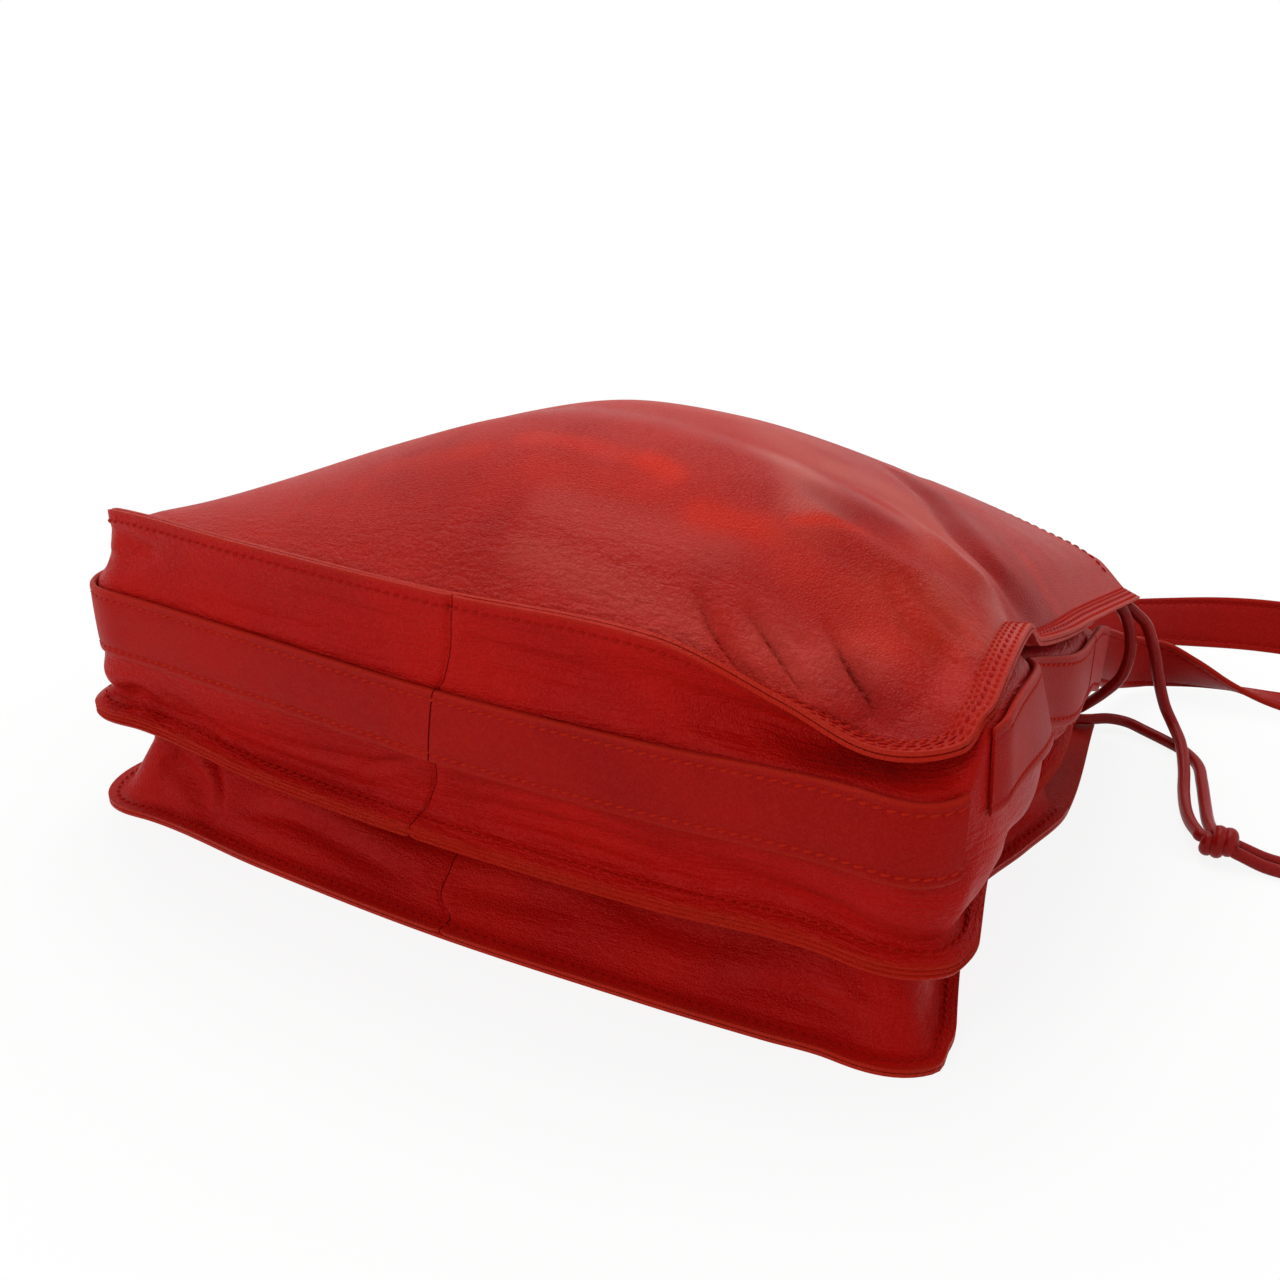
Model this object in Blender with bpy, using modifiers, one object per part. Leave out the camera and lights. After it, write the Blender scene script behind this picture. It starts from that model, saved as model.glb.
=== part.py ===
"""Soft leather shoulder bag with a main and a rear compartment, lying on its back panel.

Every sheet of leather is a loft. Cross-sections of the folded gusset are drawn at places along
the seam line, which runs down the left side, round the bottom and up the right side, and smooth
rails join them. Panels span from the left rail to the right one.

X runs along the bottom to the right, Y from the bottom towards the mouth, Z up from the floor.
The origin is the centre of the back panel's underside. Lengths are metres, and section
numbers are millimetres.
"""

import math
from collections import namedtuple

import bmesh
import bpy
from mathutils import Vector

MM = 0.001

# Driving sizes
BODY_LENGTH = 0.380
BODY_HEIGHT = 0.290
BOTTOM_EDGE_TO_ORIGIN = 0.150
GUSSET_HEIGHT = 0.195
CORNER_RADIUS = 0.030
REAR_DEPTH = 0.036
MAIN_DEPTH = 0.102
CROWN_HEIGHT = 0.060
LEATHER = 0.0014
SEAM_GAP = 0.0005
FLANGE = 0.009
BAND_WIDTH = 0.030
BAND_THICKNESS = 0.0026
STRAP_THICKNESS = 0.0030
CORD_DIAMETER = 0.0055
KNOT_DIAMETER = 0.0165
JOIN_GAP = 0.0006

# How finely the rails are sampled
SIDE_ABOVE_STEPS = 4
SIDE_STEPS = 12
CORNER_STEPS = 5
BOTTOM_STEPS = 28

# One cross-section of the folded leather. floor_out, seam_out, band_out and hem_out push the
# three flanges and the band outward, fold_in is how deep the rear gusset tucks in, and the rises
# are heights above the nominal ones. lobe and tuck are how far the gusset bulges below the band
# and sinks above it. lean tips the band back and roll turns the front flange outward, both in
# degrees.
Section = namedtuple(
    "Section",
    "floor_out fold_in seam_out seam_rise lobe band_out band_rise lean tuck hem_out hem_rise roll",
)

SECTIONS = [
    Section(0, 14, -8, 14, 0, -2, -10, 0, -4, 0, -53, 10),
    Section(2, 18, -3, 12, 4, 1, -9, 0, -6, -2, -33, 15),
    Section(5, 22, 0, 9, 8, 3, -1, 0, -7, -5, -23, 10),
    Section(10, 18, 3, 13, 6, 1, 2, 0, -3, -8, -11, 0),
    Section(12, 14, 10, 11.5, 6, 0, 4, 0, -2, -12, -4, 0),
    Section(4, 20, 1, 10, 4, 0, 6, 0, -1, -6, 3, 0),
    Section(9, 24, 0, 1, -3, 0, 3, 0, -2, 0, 3, 0),
    Section(12, 26, 0, -2, -5, 0, -1.5, 0, -2, 0, 0, 5),
    Section(9, 26, 0, 0, -4, 0, -1, 0, -4, 0, 0, 20),
    Section(6, 24, 0, 4, -3, 1, 2, 0, -12, 0, -13, 65),
    Section(4, 22, 2, 5, 2, 2, 3, 0, -18, 0, -22, 80),
    Section(10, 14, 9, 4, 6, 8, 4, 0, -13, 6, -19, 80),
    Section(5, 12, 8, 4, 6, 6.5, 21, 4, -8, 4, -13, 78),
    Section(-10, 10, -3, 3, 10, 5, 14, 16, -5, 0, -9, 80),
    Section(-14, 12, -1, 4, -2, -4, 4, 12, -6, -1, -25, 85),
    Section(-3, 16, 6, 12, 4, 4, -8, 4, -6, 3, -36, 95),
    Section(6, 16, 3, 16, 0, 3, -15, 0, -6, 5, -45, 106),
    Section(0, 14, -8, 14, 0, 2, -14, 0, -4, 11, -67, 112),
]

# Key places on the bottom, measured from the centre seam, and on the sides, from the bottom
LEFT_SIDE_KEY = 0.110
BOTTOM_KEYS = (-0.090, 0.0, 0.090, 0.135)
RIGHT_SIDE_KEYS = (0.085, 0.115, 0.155)

# How far round the near right corner the bottom band ends and the side band starts
BOTTOM_BAND_CORNER_SHARE = 0.6
SIDE_BAND_CORNER_SHARE = 0.8

# Height of the front panel above a straight line between its side rails: shares of the crown at
# places from the bottom seam to the mouth, times shares at places from the left side to the right
CROWN_PROFILE = (
    (0.0, 0.0), (0.10, 0.40), (0.25, 0.84), (0.45, 1.10), (0.65, 1.05), (0.85, 0.90), (1.0, 0.76),
)
CROWN_ACROSS = (
    (0.0, 0.0), (0.1, 0.29), (0.2, 0.53), (0.3, 0.74), (0.4, 0.92), (0.5, 1.03), (0.6, 1.03),
    (0.7, 0.94), (0.8, 0.76), (0.9, 0.49), (0.96, 0.30), (1.0, 0.0),
)

# Routes of the cords, millimetres, from the bag to the knot and on to the free ends
FRONT_CORD_ROUTE = (
    (196.6, 138.2, 69.6), (201.6, 138.4, 64.6), (206.5, 138, 60), (212, 134, 50), (217, 134.5, 33),
    (221.5, 136, 20), (226.5, 133, 13), (232, 122, 9.4), (236.5, 104, 5.5), (239.2, 85.4, 3.2),
    (241.5, 66, 3.6), (243.5, 54, 5), (249.9, 42.7, 7.3),
)
BACK_CORD_ROUTE = (
    (187, 136, 4.8), (196, 140.5, 5.6), (205, 141.5, 5.2), (213.5, 139, 4), (225.2, 133.3, 3.2),
    (233.3, 127.2, 3.2), (241.5, 115, 3.2), (245.2, 99.2, 3.2), (249, 78, 3.4), (252, 60, 5), (255.1, 46, 7.7),
)
LINK_CORD_ROUTE = (
    (195.4, 130.2, 72.8), (198.9, 130.4, 63), (201.5, 130, 54), (202, 130, 44), (199.5, 130, 33), (193.5, 130.5, 24),
    (186, 131.5, 15.5), (180, 133.5, 9.5), (173.6, 136, 4.4),
)
TAIL_A_ROUTE = (
    (267.2, 41.3, 6.2), (277, 42.2, 3.4), (290, 41.5, 3.1), (310, 37.5, 3.1), (332, 35, 3.1), (350, 39, 3.1),
)
TAIL_B_ROUTE = (
    (267.2, 35.3, 6.2), (277, 35.4, 3.4), (290, 34.6, 3.1), (308, 29, 3.1), (326, 21, 3.1), (340, 12, 3.1),
)
KNOT_CENTRE = (258.5, 38, 8.4)

# Middle line of the shoulder strap in millimetres, and the angle of its width from level
STRAP_ROUTE = (
    (195, 85, 60, 88), (190.5, 112, 48, 88), (187.5, 145, 36, 88), (193, 172, 24, 85), (200, 187, 18.5, 82),
    (209, 194, 17, 76), (224, 199, 13, 54), (244, 203, 8, 30), (271, 206, 4, 10), (304, 212, 2.2, 0),
    (334, 230, 3, 8), (345, 254, 8, 30), (335, 274, 14, 62), (310, 284, 16, 80), (280, 286, 16.5, 84),
    (245, 283, 15.5, 75), (205, 274, 12, 50), (160, 259, 8, 28), (110, 243, 4, 8), (55, 231, 2.3, 0),
    (0, 225, 2.2, 0), (-55, 221, 2.3, 0), (-105, 211, 4, 8), (-145, 192, 12, 34), (-174, 160, 28, 60),
    (-189, 120, 46, 78), (-194, 84, 62, 86),
)
STRAP_LEAD = 0.015
STRAP_DROP = 0.002
STRAP_STEPS = 90

RED_LEATHER = (0.45, 0.022, 0.020, 1.0)
DEEP_RED_LEATHER = (0.31, 0.008, 0.010, 1.0)
CORD_RED = (0.26, 0.010, 0.012, 1.0)


def smooth_value(keys, position):
    """Value at a position on a smooth curve through (place, value) keys."""
    if position <= keys[0][0]:
        return keys[0][1]
    if position >= keys[-1][0]:
        return keys[-1][1]
    index = 0
    while keys[index + 1][0] < position:
        index += 1
    start, end = keys[index], keys[index + 1]
    before = keys[max(index - 1, 0)]
    after = keys[min(index + 2, len(keys) - 1)]
    span = end[0] - start[0]
    share = (position - start[0]) / span
    slope_in = span * (end[1] - before[1]) / max(end[0] - before[0], 1e-9)
    slope_out = span * (after[1] - start[1]) / max(after[0] - start[0], 1e-9)
    square = share * share
    cube = square * share
    return (
        (2 * cube - 3 * square + 1) * start[1]
        + (cube - 2 * square + share) * slope_in
        + (3 * square - 2 * cube) * end[1]
        + (cube - square) * slope_out
    )


def smooth_route(points, steps):
    """Points read at even distances from a smooth curve through a route's own points."""
    places = [0.0]
    for first, second in zip(points, points[1:]):
        places.append(places[-1] + (Vector(second[:3]) - Vector(first[:3])).length)
    curves = [
        [(place, point[axis]) for place, point in zip(places, points)]
        for axis in range(len(points[0]))
    ]
    return [
        [smooth_value(curve, places[-1] * step / steps) for curve in curves]
        for step in range(steps + 1)
    ]


# The seam line: down the left side, round the bottom, up the right side
HALF_LENGTH = BODY_LENGTH / 2
BOTTOM_Y = -BOTTOM_EDGE_TO_ORIGIN
MOUTH_Y = BOTTOM_Y + BODY_HEIGHT
GUSSET_TOP_Y = BOTTOM_Y + GUSSET_HEIGHT
SIDE_LENGTH = BODY_HEIGHT - CORNER_RADIUS
STRAIGHT_BOTTOM = BODY_LENGTH - 2 * CORNER_RADIUS
ARC_LENGTH = math.pi / 2 * CORNER_RADIUS
LINE_LENGTH = 2 * SIDE_LENGTH + 2 * ARC_LENGTH + STRAIGHT_BOTTOM
BOTTOM_START = SIDE_LENGTH + ARC_LENGTH
BOTTOM_END = BOTTOM_START + STRAIGHT_BOTTOM


def seam_point(distance):
    """Place on the seam line in plan and the outward direction there."""
    if distance <= SIDE_LENGTH:
        return Vector((-HALF_LENGTH, MOUTH_Y - distance, 0)), Vector((-1, 0, 0))
    distance -= SIDE_LENGTH
    if distance <= ARC_LENGTH:
        angle = distance / CORNER_RADIUS
        outward = Vector((-math.cos(angle), -math.sin(angle), 0))
        centre = Vector((-HALF_LENGTH + CORNER_RADIUS, BOTTOM_Y + CORNER_RADIUS, 0))
        return centre + outward * CORNER_RADIUS, outward
    distance -= ARC_LENGTH
    if distance <= STRAIGHT_BOTTOM:
        return Vector((-HALF_LENGTH + CORNER_RADIUS + distance, BOTTOM_Y, 0)), Vector((0, -1, 0))
    distance -= STRAIGHT_BOTTOM
    if distance <= ARC_LENGTH:
        angle = distance / CORNER_RADIUS
        outward = Vector((math.sin(angle), -math.cos(angle), 0))
        centre = Vector((HALF_LENGTH - CORNER_RADIUS, BOTTOM_Y + CORNER_RADIUS, 0))
        return centre + outward * CORNER_RADIUS, outward
    distance -= ARC_LENGTH
    return Vector((HALF_LENGTH, BOTTOM_Y + CORNER_RADIUS + distance, 0)), Vector((1, 0, 0))


def left_side_place(height):
    """Distance along the seam line of a place on the left side, from its height above the bottom."""
    return BODY_HEIGHT - height


def right_side_place(height):
    return LINE_LENGTH - BODY_HEIGHT + height


def bottom_place(x):
    return BOTTOM_START + STRAIGHT_BOTTOM / 2 + x


KEY_PLACES = (
    [0.0, left_side_place(GUSSET_HEIGHT), left_side_place(LEFT_SIDE_KEY), SIDE_LENGTH]
    + [SIDE_LENGTH + ARC_LENGTH / 2, BOTTOM_START]
    + [bottom_place(x) for x in BOTTOM_KEYS]
    + [BOTTOM_END, BOTTOM_END + ARC_LENGTH * BOTTOM_BAND_CORNER_SHARE]
    + [BOTTOM_END + ARC_LENGTH * SIDE_BAND_CORNER_SHARE]
    + [right_side_place(height) for height in RIGHT_SIDE_KEYS]
    + [right_side_place(GUSSET_HEIGHT), LINE_LENGTH]
)


def section_at(distance):
    """The cross-section at any place, read smoothly from the drawn ones."""
    values = []
    for index in range(len(Section._fields)):
        keys = [(place, section[index]) for place, section in zip(KEY_PLACES, SECTIONS)]
        values.append(smooth_value(keys, distance))
    return Section(*values)


def stations():
    """Distances along the seam line at which every rail has a point."""
    above = BODY_HEIGHT - GUSSET_HEIGHT
    side = GUSSET_HEIGHT - CORNER_RADIUS
    runs = (
        (above, SIDE_ABOVE_STEPS), (side, SIDE_STEPS), (ARC_LENGTH, CORNER_STEPS),
        (STRAIGHT_BOTTOM, BOTTOM_STEPS), (ARC_LENGTH, CORNER_STEPS), (side, SIDE_STEPS),
        (above, SIDE_ABOVE_STEPS),
    )
    places = [0.0]
    for length, steps in runs:
        start = places[-1]
        places += [start + length * step / steps for step in range(1, steps + 1)]
    return places


STATIONS = stations()
GUSSET_FIRST = SIDE_ABOVE_STEPS
CORNER_FIRST = SIDE_ABOVE_STEPS + SIDE_STEPS
BOTTOM_FIRST = CORNER_FIRST + CORNER_STEPS
CENTRE = BOTTOM_FIRST + BOTTOM_STEPS // 2
LAST = len(STATIONS) - 1
MIRRORED = LAST - GUSSET_FIRST

# Stations round the near right corner where the bottom band ends and the side band starts
BOTTOM_BAND_LAST = LAST - BOTTOM_FIRST + round(CORNER_STEPS * BOTTOM_BAND_CORNER_SHARE)
SIDE_BAND_FIRST = LAST - BOTTOM_FIRST + round(CORNER_STEPS * SIDE_BAND_CORNER_SHARE)

LAYER = LEATHER + SEAM_GAP
BACK_LEVEL = LEATHER / 2
REAR_FLANGE_LEVEL = BACK_LEVEL + LAYER
FOLD_SHARE = 0.62
LOBE_SHARE = 0.5
TUCK_DROP = 0.2
EDGE_SHARE = 0.03
SEAM_LIFT = 0.005


def place_point(distance, outward_shift, height):
    point, outward = seam_point(distance)
    shifted = point + outward * outward_shift
    shifted.z = height
    return shifted


def fold_points(distance):
    """Named points of the folded leather at one place, as (outward, height) pairs."""
    section = section_at(distance)
    seam = REAR_DEPTH + section.seam_rise * MM
    seam_out = section.seam_out * MM
    hem = REAR_DEPTH + MAIN_DEPTH + section.hem_rise * MM
    hem_out = section.hem_out * MM
    band_out = section.band_out * MM
    band = REAR_DEPTH + MAIN_DEPTH / 2 + section.band_rise * MM
    lean = math.radians(section.lean)
    half_band = BAND_WIDTH / 2
    roll = math.radians(section.roll)
    floor_out = section.floor_out * MM
    fold_in = -section.fold_in * MM

    points = {}
    points["floor_edge"] = (floor_out, REAR_FLANGE_LEVEL)
    points["floor_root"] = (floor_out - FLANGE, REAR_FLANGE_LEVEL)
    points["rear_fold"] = (fold_in, REAR_FLANGE_LEVEL + (seam - REAR_FLANGE_LEVEL) * FOLD_SHARE)
    points["seam_root"] = (seam_out - FLANGE, seam + SEAM_LIFT)
    points["seam_edge"] = (seam_out, seam)
    points["band_low"] = (band_out + half_band * math.sin(lean), band - half_band * math.cos(lean))
    points["band_high"] = (band_out - half_band * math.sin(lean), band + half_band * math.cos(lean))
    points["hem_edge"] = (hem_out, hem)
    points["hem_root"] = (hem_out - FLANGE * math.sin(roll), hem - FLANGE * math.cos(roll))
    root, low = points["seam_root"], points["band_low"]
    points["lobe"] = (
        (root[0] + low[0]) / 2 + section.lobe * MM,
        root[1] + (low[1] - root[1]) * LOBE_SHARE,
    )
    high, top = points["band_high"], points["hem_root"]
    points["tuck"] = (
        (high[0] + top[0]) / 2 + section.tuck * MM,
        (high[1] + top[1]) / 2 + section.tuck * MM * TUCK_DROP,
    )
    points["roll"] = roll
    return points


def layered(points, name, layer):
    """A flange or root point moved to one of the layers sewn together there."""
    outward, height = points[name]
    if name.startswith("hem"):
        roll = points["roll"]
        return (outward + math.cos(roll) * layer, height - math.sin(roll) * layer)
    return (outward, height + layer)


def rail(name, first, last, layer=0.0, trims=(0.0, 0.0)):
    """Points of one fold line between two stations, with its ends trimmed back."""
    places = STATIONS[first:last + 1]
    places[0] += trims[0]
    places[-1] -= trims[1]
    result = []
    for place in places:
        outward, height = layered(fold_points(place), name, layer)
        result.append(place_point(place, outward, height))
    return result


def leather_material(name, colour, roughness):
    material = bpy.data.materials.new(name)
    material.use_nodes = True
    shader = material.node_tree.nodes["Principled BSDF"]
    shader.inputs["Base Color"].default_value = colour
    shader.inputs["Roughness"].default_value = roughness
    shader.inputs["Metallic"].default_value = 0.0
    return material


def add_object(name, mesh, colour, collection):
    mesh.materials.append(leather_material(name + "_leather", colour, 0.45))
    part = bpy.data.objects.new(name, mesh)
    collection.objects.link(part)
    return part


def thicken(part, thickness):
    """Turn an open sheet into leather of a given thickness, half to each side."""
    shell = part.modifiers.new("thickness", "SOLIDIFY")
    shell.thickness = thickness
    shell.offset = 0.0
    shell.use_even_offset = False


def loft(name, rails, thickness, colour, collection):
    """A sheet through rails that have the same number of points."""
    mesh = bpy.data.meshes.new(name)
    sheet = bmesh.new()
    rows = [[sheet.verts.new(point) for point in points] for points in rails]
    for lower, upper in zip(rows, rows[1:]):
        for index in range(len(lower) - 1):
            sheet.faces.new((lower[index], lower[index + 1], upper[index + 1], upper[index]))
    sheet.to_mesh(mesh)
    sheet.free()
    part = add_object(name, mesh, colour, collection)
    thicken(part, thickness)
    return part


def panel(name, edge_name, root_name, layer, height_at, colour, collection):
    """A panel that spans between the seam line's two sides, with its edge turned into a flange."""
    root = rail(root_name, 0, LAST, layer)
    edge = rail(edge_name, 0, LAST, layer)
    mesh = bpy.data.meshes.new(name)
    sheet = bmesh.new()
    root_verts = [sheet.verts.new(point) for point in root]
    edge_verts = [sheet.verts.new(point) for point in edge]
    for index in range(LAST):
        after = index + 1
        sheet.faces.new((root_verts[index], root_verts[after], edge_verts[after], edge_verts[index]))
    bottom = root[BOTTOM_FIRST:LAST - BOTTOM_FIRST + 1]
    rows = []
    for index in range(BOTTOM_FIRST):
        left, right = root[index], root[LAST - index]
        depth = (seam_point(STATIONS[index])[0].y - BOTTOM_Y) / BODY_HEIGHT
        row = [root_verts[index]]
        for column in range(1, BOTTOM_STEPS):
            share = column / BOTTOM_STEPS
            point = left.lerp(right, share)
            inner = min(1.0, min(share, 1 - share) / EDGE_SHARE)
            even = bottom[column].y + (MOUTH_Y - bottom[column].y) * depth
            point.y += (even - point.y) * inner
            point.z += (bottom[column].z - point.z) * inner * (1 - depth) ** 4
            point.z += height_at(share, depth)
            row.append(sheet.verts.new(point))
        row.append(root_verts[LAST - index])
        rows.append(row)
    rows.append(root_verts[BOTTOM_FIRST:LAST - BOTTOM_FIRST + 1])
    for lower, upper in zip(rows, rows[1:]):
        for column in range(BOTTOM_STEPS):
            sheet.faces.new((lower[column], lower[column + 1], upper[column + 1], upper[column]))
    bmesh.ops.recalc_face_normals(sheet, faces=sheet.faces)
    sheet.to_mesh(mesh)
    sheet.free()
    part = add_object(name, mesh, colour, collection)
    thicken(part, LEATHER)
    return part


def crown(share, depth):
    """Height of the stuffed front panel above the line between its sides."""
    return CROWN_HEIGHT * smooth_value(CROWN_PROFILE, depth) * smooth_value(CROWN_ACROSS, share)


def flat(share, depth):
    return 0.0


def middle_sag(share, depth):
    """The middle panel sags a little between its seams."""
    across = 1 - (2 * share - 1) ** 2
    return -0.008 * across * min(max(depth, 0.0), 1.0)


def gusset(name, first, last, trims, collection):
    """Half of the main gusset, from the middle seam's flange up to the front one."""
    rails = [
        rail("seam_edge", first, last, LAYER, trims),
        rail("seam_root", first, last, LAYER, trims),
        rail("lobe", first, last, 0.0, trims),
        rail("band_low", first, last, 0.0, trims),
        rail("band_high", first, last, 0.0, trims),
        rail("tuck", first, last, 0.0, trims),
        rail("hem_root", first, last, LAYER / 2, trims),
        rail("hem_edge", first, last, LAYER / 2, trims),
    ]
    return loft(name, rails, LEATHER, RED_LEATHER, collection)


def rear_gusset(name, first, last, trims, collection):
    """Half of the narrow rear gusset, folded inward between the floor and the middle seam."""
    rails = [
        rail("floor_edge", first, last, 0.0, trims),
        rail("floor_root", first, last, 0.0, trims),
        rail("rear_fold", first, last, 0.0, trims),
        rail("seam_root", first, last, -LAYER, trims),
        rail("seam_edge", first, last, -LAYER, trims),
    ]
    return loft(name, rails, LEATHER, DEEP_RED_LEATHER, collection)


def band_rails(first, last, trims):
    """Lower and upper edge of a strip of strap that lies flat on the gusset."""
    low = rail("band_low", first, last, 0.0, trims)
    high = rail("band_high", first, last, 0.0, trims)
    shift = LEATHER / 2 + SEAM_GAP + BAND_THICKNESS / 2
    for index, (bottom, top) in enumerate(zip(low, high)):
        outward = seam_point(STATIONS[first + index])[1]
        up = (top - bottom).normalized()
        away = (outward - up * outward.dot(up)).normalized()
        low[index] = bottom + away * shift
        high[index] = top + away * shift
    return low, high


def band(name, first, last, trims, collection):
    """A strip of strap sewn flat on the gusset."""
    return loft(name, band_rails(first, last, trims), BAND_THICKNESS, DEEP_RED_LEATHER, collection)


def strap_route(ends):
    """Route of the shoulder strap, starting and ending square on the two side bands."""
    leads = []
    for bottom, top in ends:
        middle = (bottom + top) / 2 / MM
        near = (middle.x, middle.y, middle.z, 90)
        far = (middle.x, middle.y + STRAP_LEAD / MM, middle.z - STRAP_DROP / MM, 90)
        leads.append((near, far))
    right, left = leads
    return [right[0], right[1], *STRAP_ROUTE, left[1], left[0]]


def strap(name, colour, collection):
    """The shoulder strap as a flat strip whose width turns along its route."""
    low, high = band_rails(GUSSET_FIRST, MIRRORED, (0.0, 0.0))
    step_off = Vector((0, JOIN_GAP, 0))
    ends = ((low[-1] + step_off, high[-1] + step_off), (low[0] + step_off, high[0] + step_off))
    rows = ([], [])
    route = smooth_route(strap_route(ends), STRAP_STEPS)
    for index, (x, y, z, tilt) in enumerate(route):
        before = Vector(route[max(index - 1, 0)][:3])
        after = Vector(route[min(index + 1, STRAP_STEPS)][:3])
        along = (after - before).normalized()
        level = Vector((along.y, -along.x, 0)).normalized()
        upward = level.cross(along).normalized()
        angle = math.radians(tilt)
        width = level * math.cos(angle) + upward * math.sin(angle)
        centre = Vector((x, y, z)) * MM
        rows[0].append(centre - width * BAND_WIDTH / 2)
        rows[1].append(centre + width * BAND_WIDTH / 2)
    for row in rows:
        for point in row:
            point.z = max(point.z, STRAP_THICKNESS / 2 + SEAM_GAP)
    for side in range(2):
        rows[side][0] = ends[0][side]
        rows[side][-1] = ends[1][side]
    return loft(name, rows, STRAP_THICKNESS, colour, collection)


def cord(name, route, colour, collection):
    """A round leather cord along a smooth route."""
    length = sum((Vector(b) - Vector(a)).length for a, b in zip(route, route[1:])) * MM
    steps = max(4, round(length / (CORD_DIAMETER * 1.6)))
    curve = bpy.data.curves.new(name, "CURVE")
    curve.dimensions = "3D"
    curve.bevel_depth = CORD_DIAMETER / 2
    curve.bevel_resolution = 2
    curve.use_fill_caps = True
    spline = curve.splines.new("POLY")
    points = smooth_route(route, steps)
    spline.points.add(len(points) - 1)
    for target, point in zip(spline.points, points):
        target.co = (point[0] * MM, point[1] * MM, point[2] * MM, 1.0)
    return add_object(name, curve, colour, collection)


def knot(name, colour, collection):
    """The overhand knot as a rounded lump of cord."""
    mesh = bpy.data.meshes.new(name)
    lump = bmesh.new()
    bmesh.ops.create_uvsphere(lump, u_segments=16, v_segments=10, radius=KNOT_DIAMETER / 2)
    for vertex in lump.verts:
        vertex.co.x *= 1.05
        vertex.co.z *= 0.95
    lump.to_mesh(mesh)
    lump.free()
    part = add_object(name, mesh, colour, collection)
    part.location = Vector(KNOT_CENTRE) * MM
    return part


def clear_scene():
    for item in list(bpy.data.objects):
        bpy.data.objects.remove(item, do_unlink=True)


def build():
    clear_scene()
    bag = bpy.data.collections.new("shoulder_bag")
    bpy.context.scene.collection.children.link(bag)
    half_gap = JOIN_GAP / 2
    left_half = (0.0, half_gap)
    right_half = (half_gap, 0.0)
    panel("front_panel", "hem_edge", "hem_root", -LAYER / 2, crown, RED_LEATHER, bag)
    panel("middle_panel", "seam_edge", "seam_root", 0.0, middle_sag, DEEP_RED_LEATHER, bag)
    panel("back_panel", "floor_edge", "floor_root", -LAYER, flat, RED_LEATHER, bag)
    gusset("main_gusset_left", GUSSET_FIRST, CENTRE, left_half, bag)
    gusset("main_gusset_right", CENTRE, MIRRORED, right_half, bag)
    rear_gusset("rear_gusset_left", GUSSET_FIRST, CENTRE, left_half, bag)
    rear_gusset("rear_gusset_right", CENTRE, MIRRORED, right_half, bag)
    band("side_band_left", GUSSET_FIRST, CORNER_FIRST, left_half, bag)
    band("bottom_band_left", CORNER_FIRST, CENTRE, (half_gap, half_gap), bag)
    band("bottom_band_right", CENTRE, BOTTOM_BAND_LAST, right_half, bag)
    band("side_band_right", SIDE_BAND_FIRST, MIRRORED, (0.0, 0.0), bag)
    strap("shoulder_strap", DEEP_RED_LEATHER, bag)
    cord("tie_cord_front", FRONT_CORD_ROUTE, CORD_RED, bag)
    cord("tie_cord_back", BACK_CORD_ROUTE, CORD_RED, bag)
    cord("tie_cord_link", LINK_CORD_ROUTE, CORD_RED, bag)
    cord("tie_tail_long", TAIL_A_ROUTE, CORD_RED, bag)
    cord("tie_tail_short", TAIL_B_ROUTE, CORD_RED, bag)
    knot("tie_knot", CORD_RED, bag)


build()
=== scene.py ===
import math
from collections import namedtuple

import bpy
import numpy as np
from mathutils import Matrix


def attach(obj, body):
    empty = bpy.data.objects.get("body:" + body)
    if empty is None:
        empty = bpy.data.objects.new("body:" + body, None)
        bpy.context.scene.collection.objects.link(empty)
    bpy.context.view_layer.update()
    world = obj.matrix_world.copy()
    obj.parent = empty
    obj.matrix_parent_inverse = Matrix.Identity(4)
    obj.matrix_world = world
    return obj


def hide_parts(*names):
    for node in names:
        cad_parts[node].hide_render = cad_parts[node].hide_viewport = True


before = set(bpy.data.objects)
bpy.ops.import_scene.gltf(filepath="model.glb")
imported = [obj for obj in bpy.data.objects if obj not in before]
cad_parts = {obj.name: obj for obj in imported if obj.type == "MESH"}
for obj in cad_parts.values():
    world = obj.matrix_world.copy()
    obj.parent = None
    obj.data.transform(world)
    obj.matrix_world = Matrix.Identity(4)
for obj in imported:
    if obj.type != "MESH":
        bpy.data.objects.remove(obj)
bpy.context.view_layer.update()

MM = 0.001
BODY = "root"

# ------------------------------------------------------------------ camera, floor and light

CAMERA_PLACE = (0.266, -0.483, 0.299)
CAMERA_TURN_DEGREES = (66.7, 0.0, 28.5)
CAMERA_LENS = 36.28
SENSOR = 36.0


def clear_selection():
    bpy.ops.object.select_all(action="DESELECT")


def tone(hex_colour):
    """A linear colour from an sRGB hex value."""
    values = [int(hex_colour[index:index + 2], 16) / 255 for index in (0, 2, 4)]
    return tuple(v / 12.92 if v <= 0.04045 else ((v + 0.055) / 1.055) ** 2.4 for v in values) + (1.0,)


def add_node(material, kind, links=None, **settings):
    """One shader node with its settings, and its inputs set or linked."""
    tree = material.node_tree
    node = tree.nodes.new(kind)
    for name, value in settings.items():
        setattr(node, name, value)
    for name, value in (links or {}).items():
        if isinstance(value, bpy.types.NodeSocket):
            tree.links.new(value, node.inputs[name])
        else:
            node.inputs[name].default_value = value
    return node


def place_camera():
    clear_selection()
    bpy.ops.object.camera_add(
        location=CAMERA_PLACE, rotation=[math.radians(angle) for angle in CAMERA_TURN_DEGREES]
    )
    camera = bpy.context.object
    camera.name = "camera"
    camera.data.lens = CAMERA_LENS
    camera.data.sensor_width = SENSOR
    camera.data.dof.use_dof = False
    bpy.context.scene.camera = camera


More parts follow.
